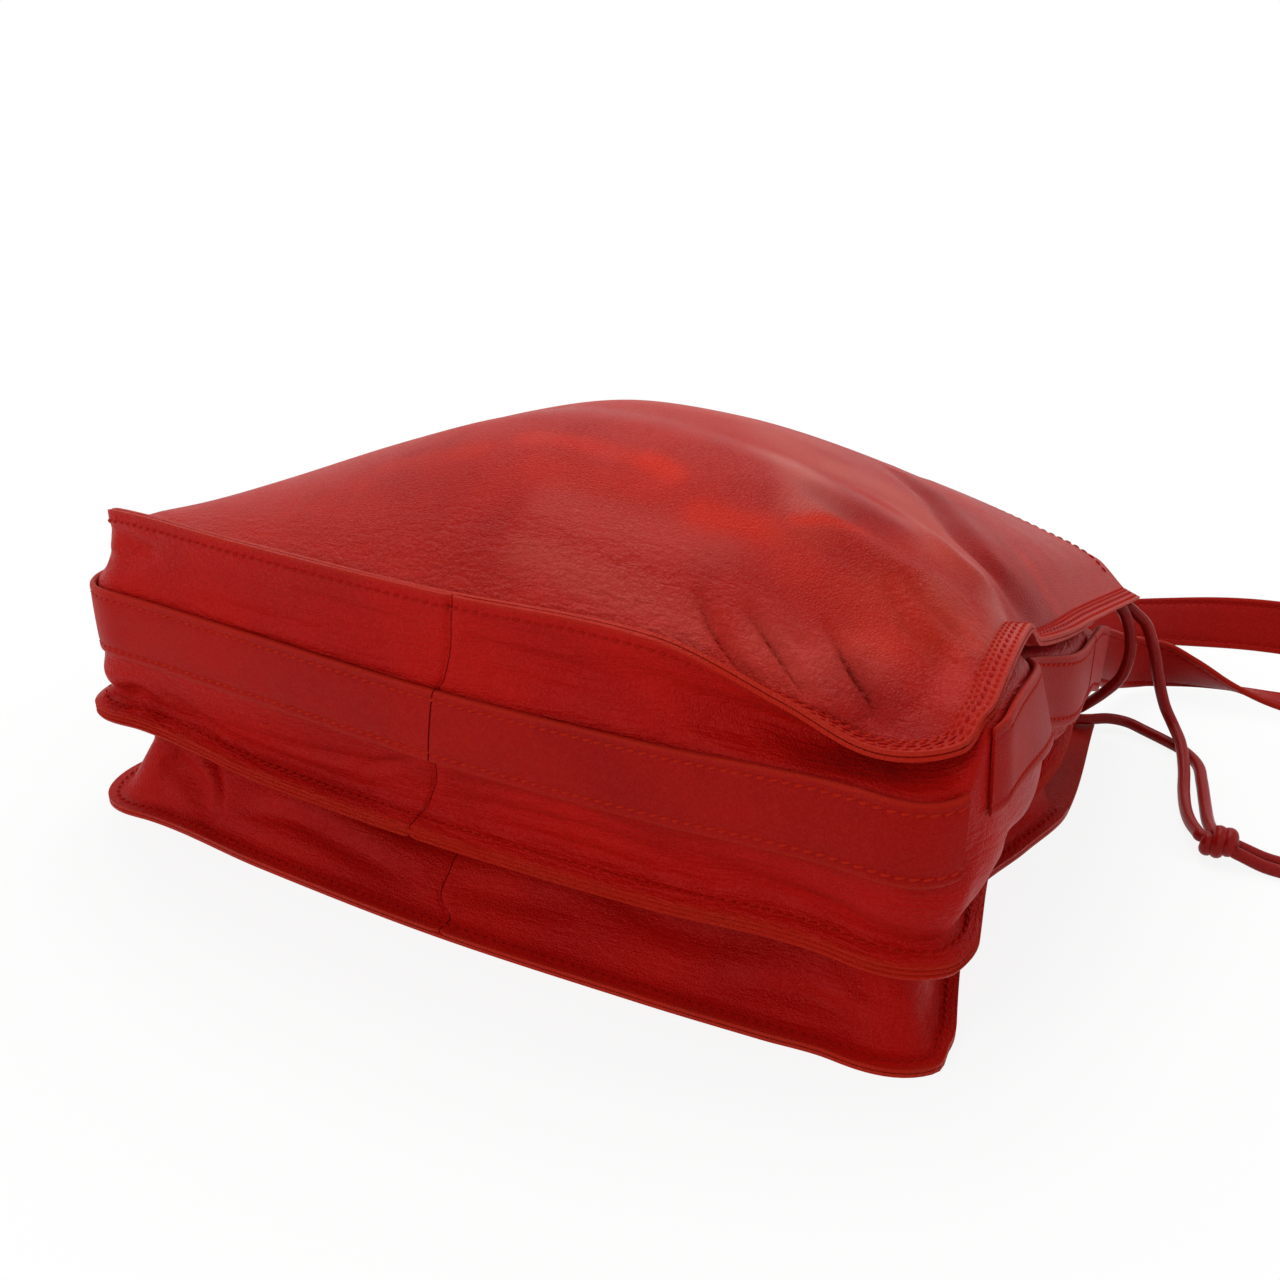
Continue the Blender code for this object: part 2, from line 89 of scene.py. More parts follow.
def softbox(name, place, aim, size, watts, colour="FFFFFF"):
    """A square studio softbox aimed at a point."""
    clear_selection()
    bpy.ops.object.light_add(type="AREA", location=place)
    lamp = bpy.context.object
    lamp.name = name
    lamp.data.shape = "SQUARE"
    lamp.data.size = size
    lamp.data.energy = watts
    lamp.data.color = tone(colour)[:3]
    away = np.array(place, float) - np.array(aim, float)
    flat = math.hypot(away[0], away[1])
    lamp.rotation_euler = (math.atan2(flat, away[2]), 0.0, math.atan2(away[0], -away[1]))


def lay_floor():
    """A white paper sweep: it keeps the bag's shadow near it and burns out to white further off."""
    clear_selection()
    bpy.ops.mesh.primitive_plane_add(size=60.0, location=(0.0, 0.0, 0.0))
    floor = bpy.context.object
    floor.name = "floor"
    paper = bpy.data.materials.new("white_paper_sweep")
    paper.use_nodes = True
    nodes = paper.node_tree.nodes
    nodes.clear()
    place = add_node(paper, "ShaderNodeTexCoord")
    away = add_node(paper, "ShaderNodeVectorMath", {0: place.outputs["Object"]}, operation="LENGTH")
    fade = add_node(
        paper, "ShaderNodeMapRange",
        {0: away.outputs["Value"], 1: 0.20, 2: 0.42, 3: 0.86, 4: 1.0},
        interpolation_type="SMOOTHSTEP",
    )
    path = add_node(paper, "ShaderNodeLightPath")
    seen = add_node(
        paper, "ShaderNodeMath",
        {0: path.outputs["Is Camera Ray"], 1: path.outputs["Is Glossy Ray"]}, operation="MAXIMUM",
    )
    seen_through = add_node(
        paper, "ShaderNodeMath",
        {0: seen.outputs[0], 1: path.outputs["Is Transmission Ray"]}, operation="MAXIMUM",
    )
    share = add_node(
        paper, "ShaderNodeMath", {0: seen_through.outputs[0], 1: fade.outputs[0]}, operation="MULTIPLY",
    )
    matt = add_node(paper, "ShaderNodeBsdfDiffuse", {"Color": tone("F2F2F0")})
    glow = add_node(paper, "ShaderNodeEmission", {"Color": (1, 1, 1, 1), "Strength": 1.0})
    mixed = add_node(paper, "ShaderNodeMixShader", {0: share.outputs[0], 1: matt.outputs[0], 2: glow.outputs[0]})
    add_node(paper, "ShaderNodeOutputMaterial", {"Surface": mixed.outputs[0]})
    floor.data.materials.append(paper)


def light_world():
    """An even white surround, white to the camera and dimmer as a light."""
    world = bpy.context.scene.world or bpy.data.worlds.new("studio")
    bpy.context.scene.world = world
    world.use_nodes = True
    world.node_tree.nodes.clear()
    path = add_node(world, "ShaderNodeLightPath")
    seen = add_node(
        world, "ShaderNodeMath",
        {0: path.outputs["Is Camera Ray"], 1: path.outputs["Is Glossy Ray"]}, operation="MAXIMUM",
    )
    seen_through = add_node(
        world, "ShaderNodeMath",
        {0: seen.outputs[0], 1: path.outputs["Is Transmission Ray"]}, operation="MAXIMUM",
    )
    strength = add_node(
        world, "ShaderNodeMapRange", {0: seen_through.outputs[0], 1: 0.0, 2: 1.0, 3: 0.46, 4: 1.0},
    )
    light = add_node(world, "ShaderNodeBackground", {"Color": (1, 1, 1, 1), "Strength": strength.outputs[0]})
    add_node(world, "ShaderNodeOutputWorld", {"Surface": light.outputs[0]})


place_camera()
lay_floor()
light_world()
softbox("key_softbox", (-0.35, 0.55, 1.35), (0.0, 0.0, 0.05), 1.2, 12.0)
softbox("front_softbox", (-0.55, -1.30, 0.75), (0.0, 0.0, 0.05), 1.0, 8.5)
softbox("right_softbox", (1.35, 0.10, 0.80), (0.0, 0.0, 0.05), 0.8, 2.6)

# ------------------------------------------------------------------ the bag's own sizes

BODY_LENGTH = 0.380
BODY_HEIGHT = 0.290
BOTTOM_EDGE_TO_ORIGIN = 0.150
GUSSET_HEIGHT = 0.195
CORNER_RADIUS = 0.030
REAR_DEPTH = 0.036
MAIN_DEPTH = 0.102
CROWN_HEIGHT = 0.060
LEATHER = 0.0014
SEAM_GAP = 0.0005
FLANGE = 0.009
BAND_WIDTH = 0.030
BAND_THICKNESS = 0.0026
STRAP_THICKNESS = 0.0030
CORD_DIAMETER = 0.0055
JOIN_GAP = 0.0006

LAYER = LEATHER + SEAM_GAP
BACK_LEVEL = LEATHER / 2
REAR_FLANGE_LEVEL = BACK_LEVEL + LAYER
FOLD_SHARE = 0.62
TUCK_DROP = 0.2
SEAM_LIFT = 0.005

Section = namedtuple(
    "Section",
    "floor_out fold_in seam_out seam_rise lobe band_out band_rise lean tuck hem_out hem_rise roll",
)

# Cross-sections of the folded leather at key places along the seam line, in millimetres and degrees
SECTIONS = [
    Section(0, 14, -8, 14, 0, -2, -10, 0, -4, 0, -53, 10),
    Section(2, 18, -3, 12, 4, 1, -9, 0, -6, -2, -33, 15),
    Section(5, 22, 0, 9, 8, 3, -1, 0, -7, -5, -23, 10),
    Section(10, 18, 3, 13, 6, 1, 2, 0, -3, -8, -11, 0),
    Section(12, 14, 10, 11.5, 6, 0, 4, 0, -2, -12, -4, 0),
    Section(4, 20, 1, 10, 4, 0, 6, 0, -1, -6, 3, 0),
    Section(9, 24, 0, 1, -3, 0, 3, 0, -2, 0, 3, 0),
    Section(12, 26, 0, -2, -5, 0, -1.5, 0, -2, 0, 0, 5),
    Section(9, 26, 0, 0, -4, 0, -1, 0, -4, 0, 0, 20),
    Section(6, 24, 0, 4, -3, 1, 2, 0, -12, 0, -13, 65),
    Section(4, 22, 2, 5, 2, 2, 3, 0, -18, 0, -22, 80),
    Section(10, 14, 9, 4, 6, 8, 4, 0, -13, 6, -19, 80),
    Section(5, 12, 8, 4, 6, 6.5, 21, 4, -8, 4, -13, 78),
    Section(-10, 10, -3, 3, 10, 5, 14, 16, -5, 0, -9, 80),
    Section(-14, 12, -1, 4, -2, -4, 4, 12, -6, -1, -25, 85),
    Section(-3, 16, 6, 12, 4, 4, -8, 4, -6, 3, -36, 95),
    Section(6, 16, 3, 16, 0, 3, -15, 0, -6, 5, -45, 106),
    Section(0, 14, -8, 14, 0, 2, -14, 0, -4, 11, -67, 112),
]
LEFT_SIDE_KEY = 0.110
BOTTOM_KEYS = (-0.090, 0.0, 0.090, 0.135)
RIGHT_SIDE_KEYS = (0.085, 0.115, 0.155)
BOTTOM_BAND_CORNER_SHARE = 0.6
SIDE_BAND_CORNER_SHARE = 0.8
CROWN_ACROSS = (
    (0.0, 0.0), (0.1, 0.29), (0.2, 0.53), (0.3, 0.74), (0.4, 0.92), (0.5, 1.03), (0.6, 1.01),
    (0.7, 0.905), (0.8, 0.73), (0.9, 0.49), (0.96, 0.30), (1.0, 0.0),
)
CROWN_PROFILE = ((0.0, 0.0), (0.10, 0.40), (0.25, 0.84), (0.45, 1.10), (0.65, 1.05), (0.85, 0.90), (1.0, 0.76))

FRONT_CORD_ROUTE = (
    (185, 136, 70.4), (191, 137.2, 69.4), (196.6, 138.2, 67.4), (201.6, 138.4, 64.0), (206.5, 138, 60), (212, 134, 50), (217, 134.5, 33),
    (221.5, 136, 20), (226.5, 133, 13), (232, 122, 9.4), (236.5, 104, 5.5), (239.2, 85.4, 3.2),
    (242.3, 67.5, 3.8), (245.8, 54, 5.4), (250.0, 43.0, 7.3),
)
BACK_CORD_ROUTE = (
    (168, 127.5, 5.2), (177, 131, 5.2), (187, 136, 5.0), (196, 140.5, 5.6), (205, 141.5, 5.2), (213.5, 139, 4), (225.2, 133.3, 3.2),
    (233.3, 127.2, 3.2), (241.5, 115, 3.2), (245.2, 99.2, 3.2), (249, 78, 3.4), (252, 60, 5), (255.1, 46, 7.7),
)
LINK_CORD_ROUTE = (
    (184, 129, 72), (190.4, 129.8, 71), (195.2, 130.2, 68.6), (198.9, 130.4, 62.4), (201.5, 130, 54), (202, 130, 44), (199.5, 130, 33),
    (193.5, 130.5, 24), (186, 131.5, 15.5), (180, 133.5, 9.5), (173.6, 136, 5.6), (166, 137.5, 5.2),
)
TAIL_LONG_ROUTE = (
    (267.2, 41.3, 6.2), (277, 42.2, 3.4), (290, 41.5, 3.1), (310, 37.5, 3.1), (332, 35, 3.1), (350, 39, 3.1),
)
TAIL_SHORT_ROUTE = (
    (267.2, 35.3, 6.2), (277, 35.4, 3.4), (290, 34.6, 3.1), (308, 29, 3.1), (326, 21, 3.1), (340, 12, 3.1),
)
STRAP_ROUTE = (
    (195, 85, 60, 88), (190.5, 112, 48, 88), (187.5, 145, 36, 88), (193, 172, 24, 85), (200, 187, 18.5, 82),
    (209, 194, 17, 76), (224, 199, 13, 54), (244, 203, 8, 30), (271, 206, 4, 10), (304, 212, 2.2, 0),
    (334, 230, 3, 8), (345, 254, 8, 30), (335, 274, 14, 60), (310, 284, 14.5, 68), (280, 286, 14.6, 70),
    (245, 283, 14, 64), (205, 274, 11, 46), (160, 259, 8, 28), (110, 243, 4, 8), (55, 231, 2.3, 0),
    (0, 225, 2.2, 0), (-55, 221, 2.3, 0), (-105, 211, 4, 8), (-145, 192, 12, 34), (-174, 160, 28, 60),
    (-189, 120, 46, 78), (-194, 84, 62, 86),
)
STRAP_LEAD = 0.015
STRAP_DROP = 0.002

# ------------------------------------------------------------------ curves along the seam line


def smooth_values(keys, places):
    """Values at many places on a smooth curve through (place, value) keys."""
    spots = np.array([key[0] for key in keys], float)
    values = np.array([key[1] for key in keys], float)
    last = len(spots) - 1
    places = np.clip(np.asarray(places, float), spots[0], spots[-1])
    start = np.clip(np.searchsorted(spots, places, side="right") - 1, 0, last - 1)
    end = start + 1
    before = np.maximum(start - 1, 0)
    after = np.minimum(start + 2, last)
    span = spots[end] - spots[start]
    share = (places - spots[start]) / span
    slope_in = span * (values[end] - values[before]) / np.maximum(spots[end] - spots[before], 1e-9)
    slope_out = span * (values[after] - values[start]) / np.maximum(spots[after] - spots[start], 1e-9)
    square = share * share
    cube = square * share
    return (
        (2 * cube - 3 * square + 1) * values[start]
        + (cube - 2 * square + share) * slope_in
        + (3 * square - 2 * cube) * values[end]
        + (cube - square) * slope_out
    )


def smooth_route(points, steps):
    """Points read at even distances from a smooth curve through a route's own points."""
    points = np.array(points, float)
    gaps = np.linalg.norm(np.diff(points[:, :3], axis=0), axis=1)
    places = np.concatenate([[0.0], np.cumsum(gaps)])
    wanted = np.linspace(0.0, places[-1], steps + 1)
    return np.stack(
        [smooth_values(list(zip(places, points[:, axis])), wanted) for axis in range(points.shape[1])], axis=1
    )


HALF_LENGTH = BODY_LENGTH / 2
BOTTOM_Y = -BOTTOM_EDGE_TO_ORIGIN
MOUTH_Y = BOTTOM_Y + BODY_HEIGHT
SIDE_LENGTH = BODY_HEIGHT - CORNER_RADIUS
STRAIGHT_BOTTOM = BODY_LENGTH - 2 * CORNER_RADIUS
ARC_LENGTH = math.pi / 2 * CORNER_RADIUS
LINE_LENGTH = 2 * SIDE_LENGTH + 2 * ARC_LENGTH + STRAIGHT_BOTTOM
BOTTOM_START = SIDE_LENGTH + ARC_LENGTH
BOTTOM_END = BOTTOM_START + STRAIGHT_BOTTOM
CENTRE = BOTTOM_START + STRAIGHT_BOTTOM / 2
GUSSET_START = BODY_HEIGHT - GUSSET_HEIGHT
GUSSET_END = LINE_LENGTH - GUSSET_START


def left_side_place(height):
    """Distance along the seam line of a place on the left side, from its height above the bottom."""
    return BODY_HEIGHT - height


def right_side_place(height):
    return LINE_LENGTH - BODY_HEIGHT + height


def bottom_place(x):
    return CENTRE + x


KEY_PLACES = (
    [0.0, left_side_place(GUSSET_HEIGHT), left_side_place(LEFT_SIDE_KEY), SIDE_LENGTH]
    + [SIDE_LENGTH + ARC_LENGTH / 2, BOTTOM_START]
    + [bottom_place(x) for x in BOTTOM_KEYS]
    + [BOTTOM_END, BOTTOM_END + ARC_LENGTH * BOTTOM_BAND_CORNER_SHARE]
    + [BOTTOM_END + ARC_LENGTH * SIDE_BAND_CORNER_SHARE]
    + [right_side_place(height) for height in RIGHT_SIDE_KEYS]
    + [right_side_place(GUSSET_HEIGHT), LINE_LENGTH]
)


def seam_line(places):
    """Plan points of the seam line and the outward directions there."""
    places = np.asarray(places, float)
    left_angle = np.clip((places - SIDE_LENGTH) / CORNER_RADIUS, 0, math.pi / 2)
    right_angle = np.clip((places - BOTTOM_END) / CORNER_RADIUS, 0, math.pi / 2)
    on_left = places < CENTRE
    out_x = np.where(on_left, -np.cos(left_angle), np.sin(right_angle))
    out_y = np.where(on_left, -np.sin(left_angle), -np.cos(right_angle))
    centre_x = np.clip(places - CENTRE, -STRAIGHT_BOTTOM / 2, STRAIGHT_BOTTOM / 2)
    left_rise = np.clip(SIDE_LENGTH - places, 0, None)
    right_rise = np.clip(places - BOTTOM_END - ARC_LENGTH, 0, None)
    centre_y = BOTTOM_Y + CORNER_RADIUS + left_rise + right_rise
    outward = np.stack([out_x, out_y, np.zeros_like(out_x)], axis=-1)
    points = np.stack([centre_x, centre_y, np.zeros_like(out_x)], axis=-1) + outward * CORNER_RADIUS
    return points, outward


def sections(places):
    """The smooth cross-section at many places, one array for each of its fields."""
    fields = []
    for index in range(len(Section._fields)):
        keys = [(place, section[index]) for place, section in zip(KEY_PLACES, SECTIONS)]
        fields.append(smooth_values(keys, places))
    return Section(*fields)


def fold_points(places):
    """Named points of the folded leather at many places, each an array of (outward, height)."""
    s = sections(places)
    seam = REAR_DEPTH + s.seam_rise * MM
    seam_out = s.seam_out * MM
    hem = REAR_DEPTH + MAIN_DEPTH + s.hem_rise * MM
    hem_out = s.hem_out * MM
    band_out = s.band_out * MM
    band = REAR_DEPTH + MAIN_DEPTH / 2 + s.band_rise * MM
    lean = np.radians(s.lean)
    half_band = BAND_WIDTH / 2
    roll = np.radians(s.roll)
    floor_out = s.floor_out * MM
    level = np.full_like(seam, REAR_FLANGE_LEVEL)
    pair = lambda outward, height: np.stack([outward, height], axis=-1)
    points = {
        "floor_edge": pair(floor_out, level),
        "floor_root": pair(floor_out - FLANGE, level),
        "rear_fold": pair(-s.fold_in * MM, level + (seam - level) * FOLD_SHARE),
        "seam_root": pair(seam_out - FLANGE, seam + SEAM_LIFT),
        "seam_edge": pair(seam_out, seam),
        "band_low": pair(band_out + half_band * np.sin(lean), band - half_band * np.cos(lean)),
        "band_high": pair(band_out - half_band * np.sin(lean), band + half_band * np.cos(lean)),
        "hem_edge": pair(hem_out, hem),
        "hem_root": pair(hem_out - FLANGE * np.sin(roll), hem - FLANGE * np.cos(roll)),
    }
    root, low = points["seam_root"], points["band_low"]
    points["lobe"] = (root + low) / 2 + pair(s.lobe * MM, 0 * seam)
    high, top = points["band_high"], points["hem_root"]
    points["tuck"] = (high + top) / 2 + pair(s.tuck * MM, s.tuck * MM * TUCK_DROP)
    points["roll"] = roll
    return points


def layered(points, name, layer):
    """A flange or root point moved to one of the layers sewn together there."""
    if name.startswith("hem"):
        roll = points["roll"]
        return points[name] + np.stack([np.cos(roll), -np.sin(roll)], axis=-1) * layer
    return points[name] + np.array([0.0, layer])


def to_space(places, pairs):
    """Points in space of (outward, height) pairs that stand at places along the seam line."""
    points, outward = seam_line(places)
    if pairs.ndim == 3:
        points, outward = points[:, None, :], outward[:, None, :]
    result = points + outward * pairs[..., :1]
    result[..., 2] = pairs[..., 1]
    return result


def rounded(corners, reaches, counts, bends):
    """Profiles through corners whose bends are rounded.

    corners is (stations, corners, 2), reaches is how far before each inner corner its bend
    starts, counts and bends are the numbers of steps on each straight and in each bend.
    """
    entries, exits = [corners[:, 0]], [corners[:, 0]]
    for index in range(1, corners.shape[1] - 1):
        corner = corners[:, index]
        for side, ends in ((-1, entries), (1, exits)):
            step = corners[:, index + side] - corner
            length = np.linalg.norm(step, axis=1, keepdims=True)
            ends.append(corner + step * np.minimum(0.5, reaches[index - 1] / np.maximum(length, 1e-9)))
    entries.append(corners[:, -1])
    exits.append(corners[:, -1])
    columns = [corners[:, 0]]
    for index in range(1, corners.shape[1]):
        start, end = exits[index - 1], entries[index]
        for step in range(1, counts[index - 1] + 1):
            columns.append(start + (end - start) * step / counts[index - 1])
        if index < corners.shape[1] - 1:
            corner, leave = corners[:, index], exits[index]
            for step in range(1, bends[index - 1] + 1):
                t = step / bends[index - 1]
                columns.append(end * (1 - t) ** 2 + corner * 2 * t * (1 - t) + leave * t * t)
    return np.stack(columns, axis=1)


# ------------------------------------------------------------------ meshes from grids of points


def grid_normals(grid):
    """Normals of a grid of points, from its own rows and columns."""
    along = np.gradient(grid, axis=0)
    across = np.gradient(grid, axis=1)
    normals = np.cross(along, across)
    return normals / np.maximum(np.linalg.norm(normals, axis=2, keepdims=True), 1e-12)


def mesh_from(name, verts, faces, uvs=None):
    mesh = bpy.data.meshes.new(name)
    mesh.from_pydata([tuple(v) for v in verts], [], faces)
    if uvs is not None:
        layer = mesh.uv_layers.new(name="surface")
        flat = [value for face in faces for index in face for value in uvs[index]]
        layer.data.foreach_set("uv", flat)
    mesh.update()
    piece = bpy.data.objects.new(name, mesh)
    bpy.context.scene.collection.objects.link(piece)
    return piece


def grid_faces(rows, columns, closed=False, offset=0):
    """Quads of a grid, numbered row by row; closed joins the last column to the first."""
    faces = []
    wrap = columns if closed else columns - 1
    for row in range(rows - 1):
        for column in range(wrap):
            after = (column + 1) % columns
            a = offset + row * columns
            faces.append((a + column, a + after, a + columns + after, a + columns + column))
    return faces


def grid_uvs(grid):
    """Real lengths in metres along and across a grid, for patterns that follow the surface."""
    along = np.linalg.norm(np.diff(grid, axis=0), axis=2).mean(axis=1)
    across = np.linalg.norm(np.diff(grid, axis=1), axis=2)
    u = np.concatenate([[0.0], np.cumsum(along)])
    v = np.concatenate([np.zeros((grid.shape[0], 1)), np.cumsum(across, axis=1)], axis=1)
    return np.stack([np.repeat(u[:, None], grid.shape[1], axis=1), v], axis=2).reshape(-1, 2)


def apply_modifiers(piece):
    clear_selection()
    piece.select_set(True)
    bpy.context.view_layer.objects.active = piece
    for modifier in list(piece.modifiers):
        bpy.ops.object.modifier_apply(modifier=modifier.name)


def smooth_shade(piece, degrees=40):
    clear_selection()
    piece.select_set(True)
    bpy.context.view_layer.objects.active = piece
    bpy.ops.object.shade_smooth_by_angle(angle=math.radians(degrees))


def paint(piece, name, values):
    """A number for each point of a piece's mesh, which its material reads."""
    layer = piece.data.attributes.new(name, "FLOAT", "POINT")
    layer.data.foreach_set("value", np.ascontiguousarray(values, np.float32).ravel())


def leather_sheet(name, grid, thickness, marks=None):
    """A sheet of leather of real thickness around a grid of points."""
    rows, columns = grid.shape[:2]
    piece = mesh_from(name, grid.reshape(-1, 3), grid_faces(rows, columns), grid_uvs(grid))
    for mark, values in (marks or {}).items():
        paint(piece, mark, values)
    shell = piece.modifiers.new("thickness", "SOLIDIFY")
    shell.thickness = thickness
    shell.offset = 0.0
    apply_modifiers(piece)
    smooth_shade(piece)
    return piece


def finish_piece(piece, material, slot, *nodes):
    """Give a piece its material, attach it to the body and hide the CAD nodes that it stands for; slot is not used."""
    piece.data.materials.clear()
    piece.data.materials.append(material)
    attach(piece, BODY)
    if nodes:
        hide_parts(*nodes)
    return piece


# ------------------------------------------------------------------ leather, thread and cord


# Marks painted on the leather and the colour each turns it to. The pale pink one is a painted highlight and the dark
# one is painted shade, both for the light on the front panel's dome; the orange-red dye is the leather's own; the
# rubbed orange one is real wear on cut edges and also a painted highlight on the dome's lit ridges.
MARKS = {"painted_highlight": "C0564C", "dye": "CA2204", "shade": "7C0608", "wear_and_highlight": "AC2612"}


def nappa(name, mid, deep, pale, grain_mm=1.0, roughness=0.46, bump=0.35, coat=0.0, gloss=0.06,
          crease_scale=(70.0, 480.0, 1.0)):
    """Soft chrome-tanned nappa, drum-dyed red: fine pebbles, cloudy dye and a soft sheen."""
    material = bpy.data.materials.new(name)
    material.use_nodes = True
    links = material.node_tree.links
    shader = material.node_tree.nodes["Principled BSDF"]
    coordinates = add_node(material, "ShaderNodeTexCoord")
    place = coordinates.outputs["Object"]
    # Clouds of dye some 7 cm across, and pale specks half a millimetre across scattered over them
    cloud = add_node(material, "ShaderNodeTexNoise", {"Vector": place, "Scale": 14.0, "Detail": 3.0})
    cloudy = add_node(
        material, "ShaderNodeMapRange", {0: cloud.outputs["Fac"], 1: 0.35, 2: 0.65, 3: 0.0, 4: 1.0},
    )
    body = add_node(
        material, "ShaderNodeMix", {"Factor": cloudy.outputs[0], 6: tone(deep), 7: tone(mid)}, data_type="RGBA",
    )
    speck = add_node(material, "ShaderNodeTexNoise", {"Vector": place, "Scale": 900.0, "Detail": 1.0})
    specks = add_node(
        material, "ShaderNodeMapRange", {0: speck.outputs["Fac"], 1: 0.40, 2: 0.75, 3: 0.0, 4: 0.30},
    )
    colour = add_node(
        material, "ShaderNodeMix", {"Factor": specks.outputs[0], 6: body.outputs[2], 7: tone(pale)},
        data_type="RGBA",
    )
    ragged = add_node(material, "ShaderNodeTexNoise", {"Vector": place, "Scale": 70.0, "Detail": 3.0})
    # Each mark's colour goes on where it is painted: painted highlight, the leather's own dye, painted shade, and wear
    # that is partly a painted highlight
    for mark, shade in MARKS.items():
        amount = add_node(material, "ShaderNodeAttribute", attribute_name=mark)
        # The noise frays the painted marks, as rubbed dye is frayed
        frayed = add_node(
            material, "ShaderNodeMath", {0: ragged.outputs["Fac"], 1: 0.5}, operation="SUBTRACT",
        )
        wide = add_node(
            material, "ShaderNodeMath", {0: frayed.outputs[0], 1: 0.9, 2: 1.0}, operation="MULTIPLY_ADD",
        )
        share = add_node(
            material, "ShaderNodeMath", {0: amount.outputs["Fac"], 1: wide.outputs[0]},
            operation="MULTIPLY", use_clamp=True,
        )
        colour = add_node(
            material, "ShaderNodeMix", {"Factor": share.outputs[0], 6: colour.outputs[2], 7: tone(shade)},
            data_type="RGBA",
        )
    links.new(colour.outputs[2], shader.inputs["Base Color"])
    pebbles = add_node(
        material, "ShaderNodeTexVoronoi", {"Vector": place, "Scale": 1000.0 / grain_mm},
        feature="DISTANCE_TO_EDGE",
    )
    pebble_height = add_node(
        material, "ShaderNodeMapRange", {0: pebbles.outputs["Distance"], 1: 0.0, 2: 0.30, 3: 0.0, 4: 1.0},
        interpolation_type="SMOOTHSTEP",
    )
    # The grain stands out only where the leather is slack, and is nearly flat where it is drawn tight
    slack = add_node(
        material, "ShaderNodeMapRange", {0: ragged.outputs["Fac"], 1: 0.35, 2: 0.70, 3: 0.35, 4: 1.0},
    )
    grain = add_node(
        material, "ShaderNodeMath", {0: pebble_height.outputs[0], 1: slack.outputs[0]}, operation="MULTIPLY",
    )
    # Cells 2.4 mm across, drawn out of shape, swell where the leather is crumpled
    warp = add_node(material, "ShaderNodeTexNoise", {"Vector": place, "Scale": 160.0, "Detail": 1.0})
    warped = add_node(
        material, "ShaderNodeVectorMath", {0: warp.outputs["Color"], 1: (0.003, 0.003, 0.003), 2: place},
        operation="MULTIPLY_ADD",
    )
    cells = add_node(
        material, "ShaderNodeTexVoronoi", {"Vector": warped.outputs[0], "Scale": 420.0},
        feature="F1",
    )
    # Fine creases run along each piece, about 2 mm apart and 15 mm long, where they are painted
    stretched = add_node(
        material, "ShaderNodeMapping", {"Vector": coordinates.outputs["UV"], "Scale": crease_scale},
    )
    crease = add_node(
        material, "ShaderNodeTexNoise", {"Vector": stretched.outputs[0], "Scale": 1.0, "Detail": 2.0, "Distortion": 0.6},
    )
    creased = add_node(material, "ShaderNodeAttribute", attribute_name="crease")
    creases = add_node(
        material, "ShaderNodeMath", {0: crease.outputs["Fac"], 1: creased.outputs["Fac"]}, operation="MULTIPLY",
    )
    crumple = add_node(
        material, "ShaderNodeMath", {0: cells.outputs["Distance"], 1: creased.outputs["Fac"]}, operation="MULTIPLY",
    )
    crumpled = add_node(
        material, "ShaderNodeMath", {0: crumple.outputs[0], 1: -2.2, 2: grain.outputs[0]}, operation="MULTIPLY_ADD",
    )
    height = add_node(
        material, "ShaderNodeMath", {0: creases.outputs[0], 1: 7.0, 2: crumpled.outputs[0]},
        operation="MULTIPLY_ADD",
    )
    relief = add_node(
        material, "ShaderNodeBump", {"Height": height.outputs[0], "Strength": bump, "Distance": 0.0004},
    )
    links.new(relief.outputs["Normal"], shader.inputs["Normal"])
    sheen = add_node(
        material, "ShaderNodeMapRange",
        {0: cloud.outputs["Fac"], 1: 0.3, 2: 0.7, 3: roughness - 0.05, 4: roughness + 0.06},
    )
    links.new(sheen.outputs[0], shader.inputs["Roughness"])
    shader.inputs["IOR"].default_value = 1.48
    shader.inputs["Specular IOR Level"].default_value = gloss
    shader.inputs["Sheen Weight"].default_value = 0.02
    shader.inputs["Sheen Roughness"].default_value = 0.45
    shader.inputs["Sheen Tint"].default_value = tone("F4B0A4")
    shader.inputs["Coat Weight"].default_value = coat
    return material


def thread_material(name, hex_colour):
    """Waxed polyester sewing thread, dyed to match: fine noise bumps stand for its two plies."""
    material = bpy.data.materials.new(name)
    material.use_nodes = True
    shader = material.node_tree.nodes["Principled BSDF"]
    place = add_node(material, "ShaderNodeTexCoord").outputs["Object"]
    plies = add_node(material, "ShaderNodeTexNoise", {"Vector": place, "Scale": 1600.0})
    relief = add_node(material, "ShaderNodeBump", {"Height": plies.outputs["Fac"], "Strength": 0.3, "Distance": 0.0002})
    material.node_tree.links.new(relief.outputs["Normal"], shader.inputs["Normal"])
    shader.inputs["Base Color"].default_value = tone(hex_colour)
    shader.inputs["Roughness"].default_value = 0.50
    shader.inputs["Specular IOR Level"].default_value = 0.04
    return material


# The body leather's red is lighter and pinker than the gusset's: part of that is painted sheen for the lit top of the
# dome
BODY_NAPPA = nappa("red_nappa", "AE180E", "A00F08", "BE4434", grain_mm=1.3, bump=0.65, gloss=0.08,
                   crease_scale=(150.0, 420.0, 1.0))
GUSSET_NAPPA = nappa("red_gusset_nappa", "AA0A05", "980504", "B42012", grain_mm=1.2, roughness=0.42, bump=0.6)
STRAP_LEATHER = nappa("red_strap_leather", "9C0A05", "8E0503", "A82214", grain_mm=0.9, bump=0.5)
CORD_LEATHER = nappa("red_cord_leather", "900C0A", "800806", "AC2C24", grain_mm=0.7, roughness=0.36, bump=0.2, coat=0.12)
BAND_THREAD = thread_material("orange_red_thread", "A81C0C")
SEAM_THREAD = thread_material("deep_red_thread", "9A0E06")

# ------------------------------------------------------------------ cords and knot


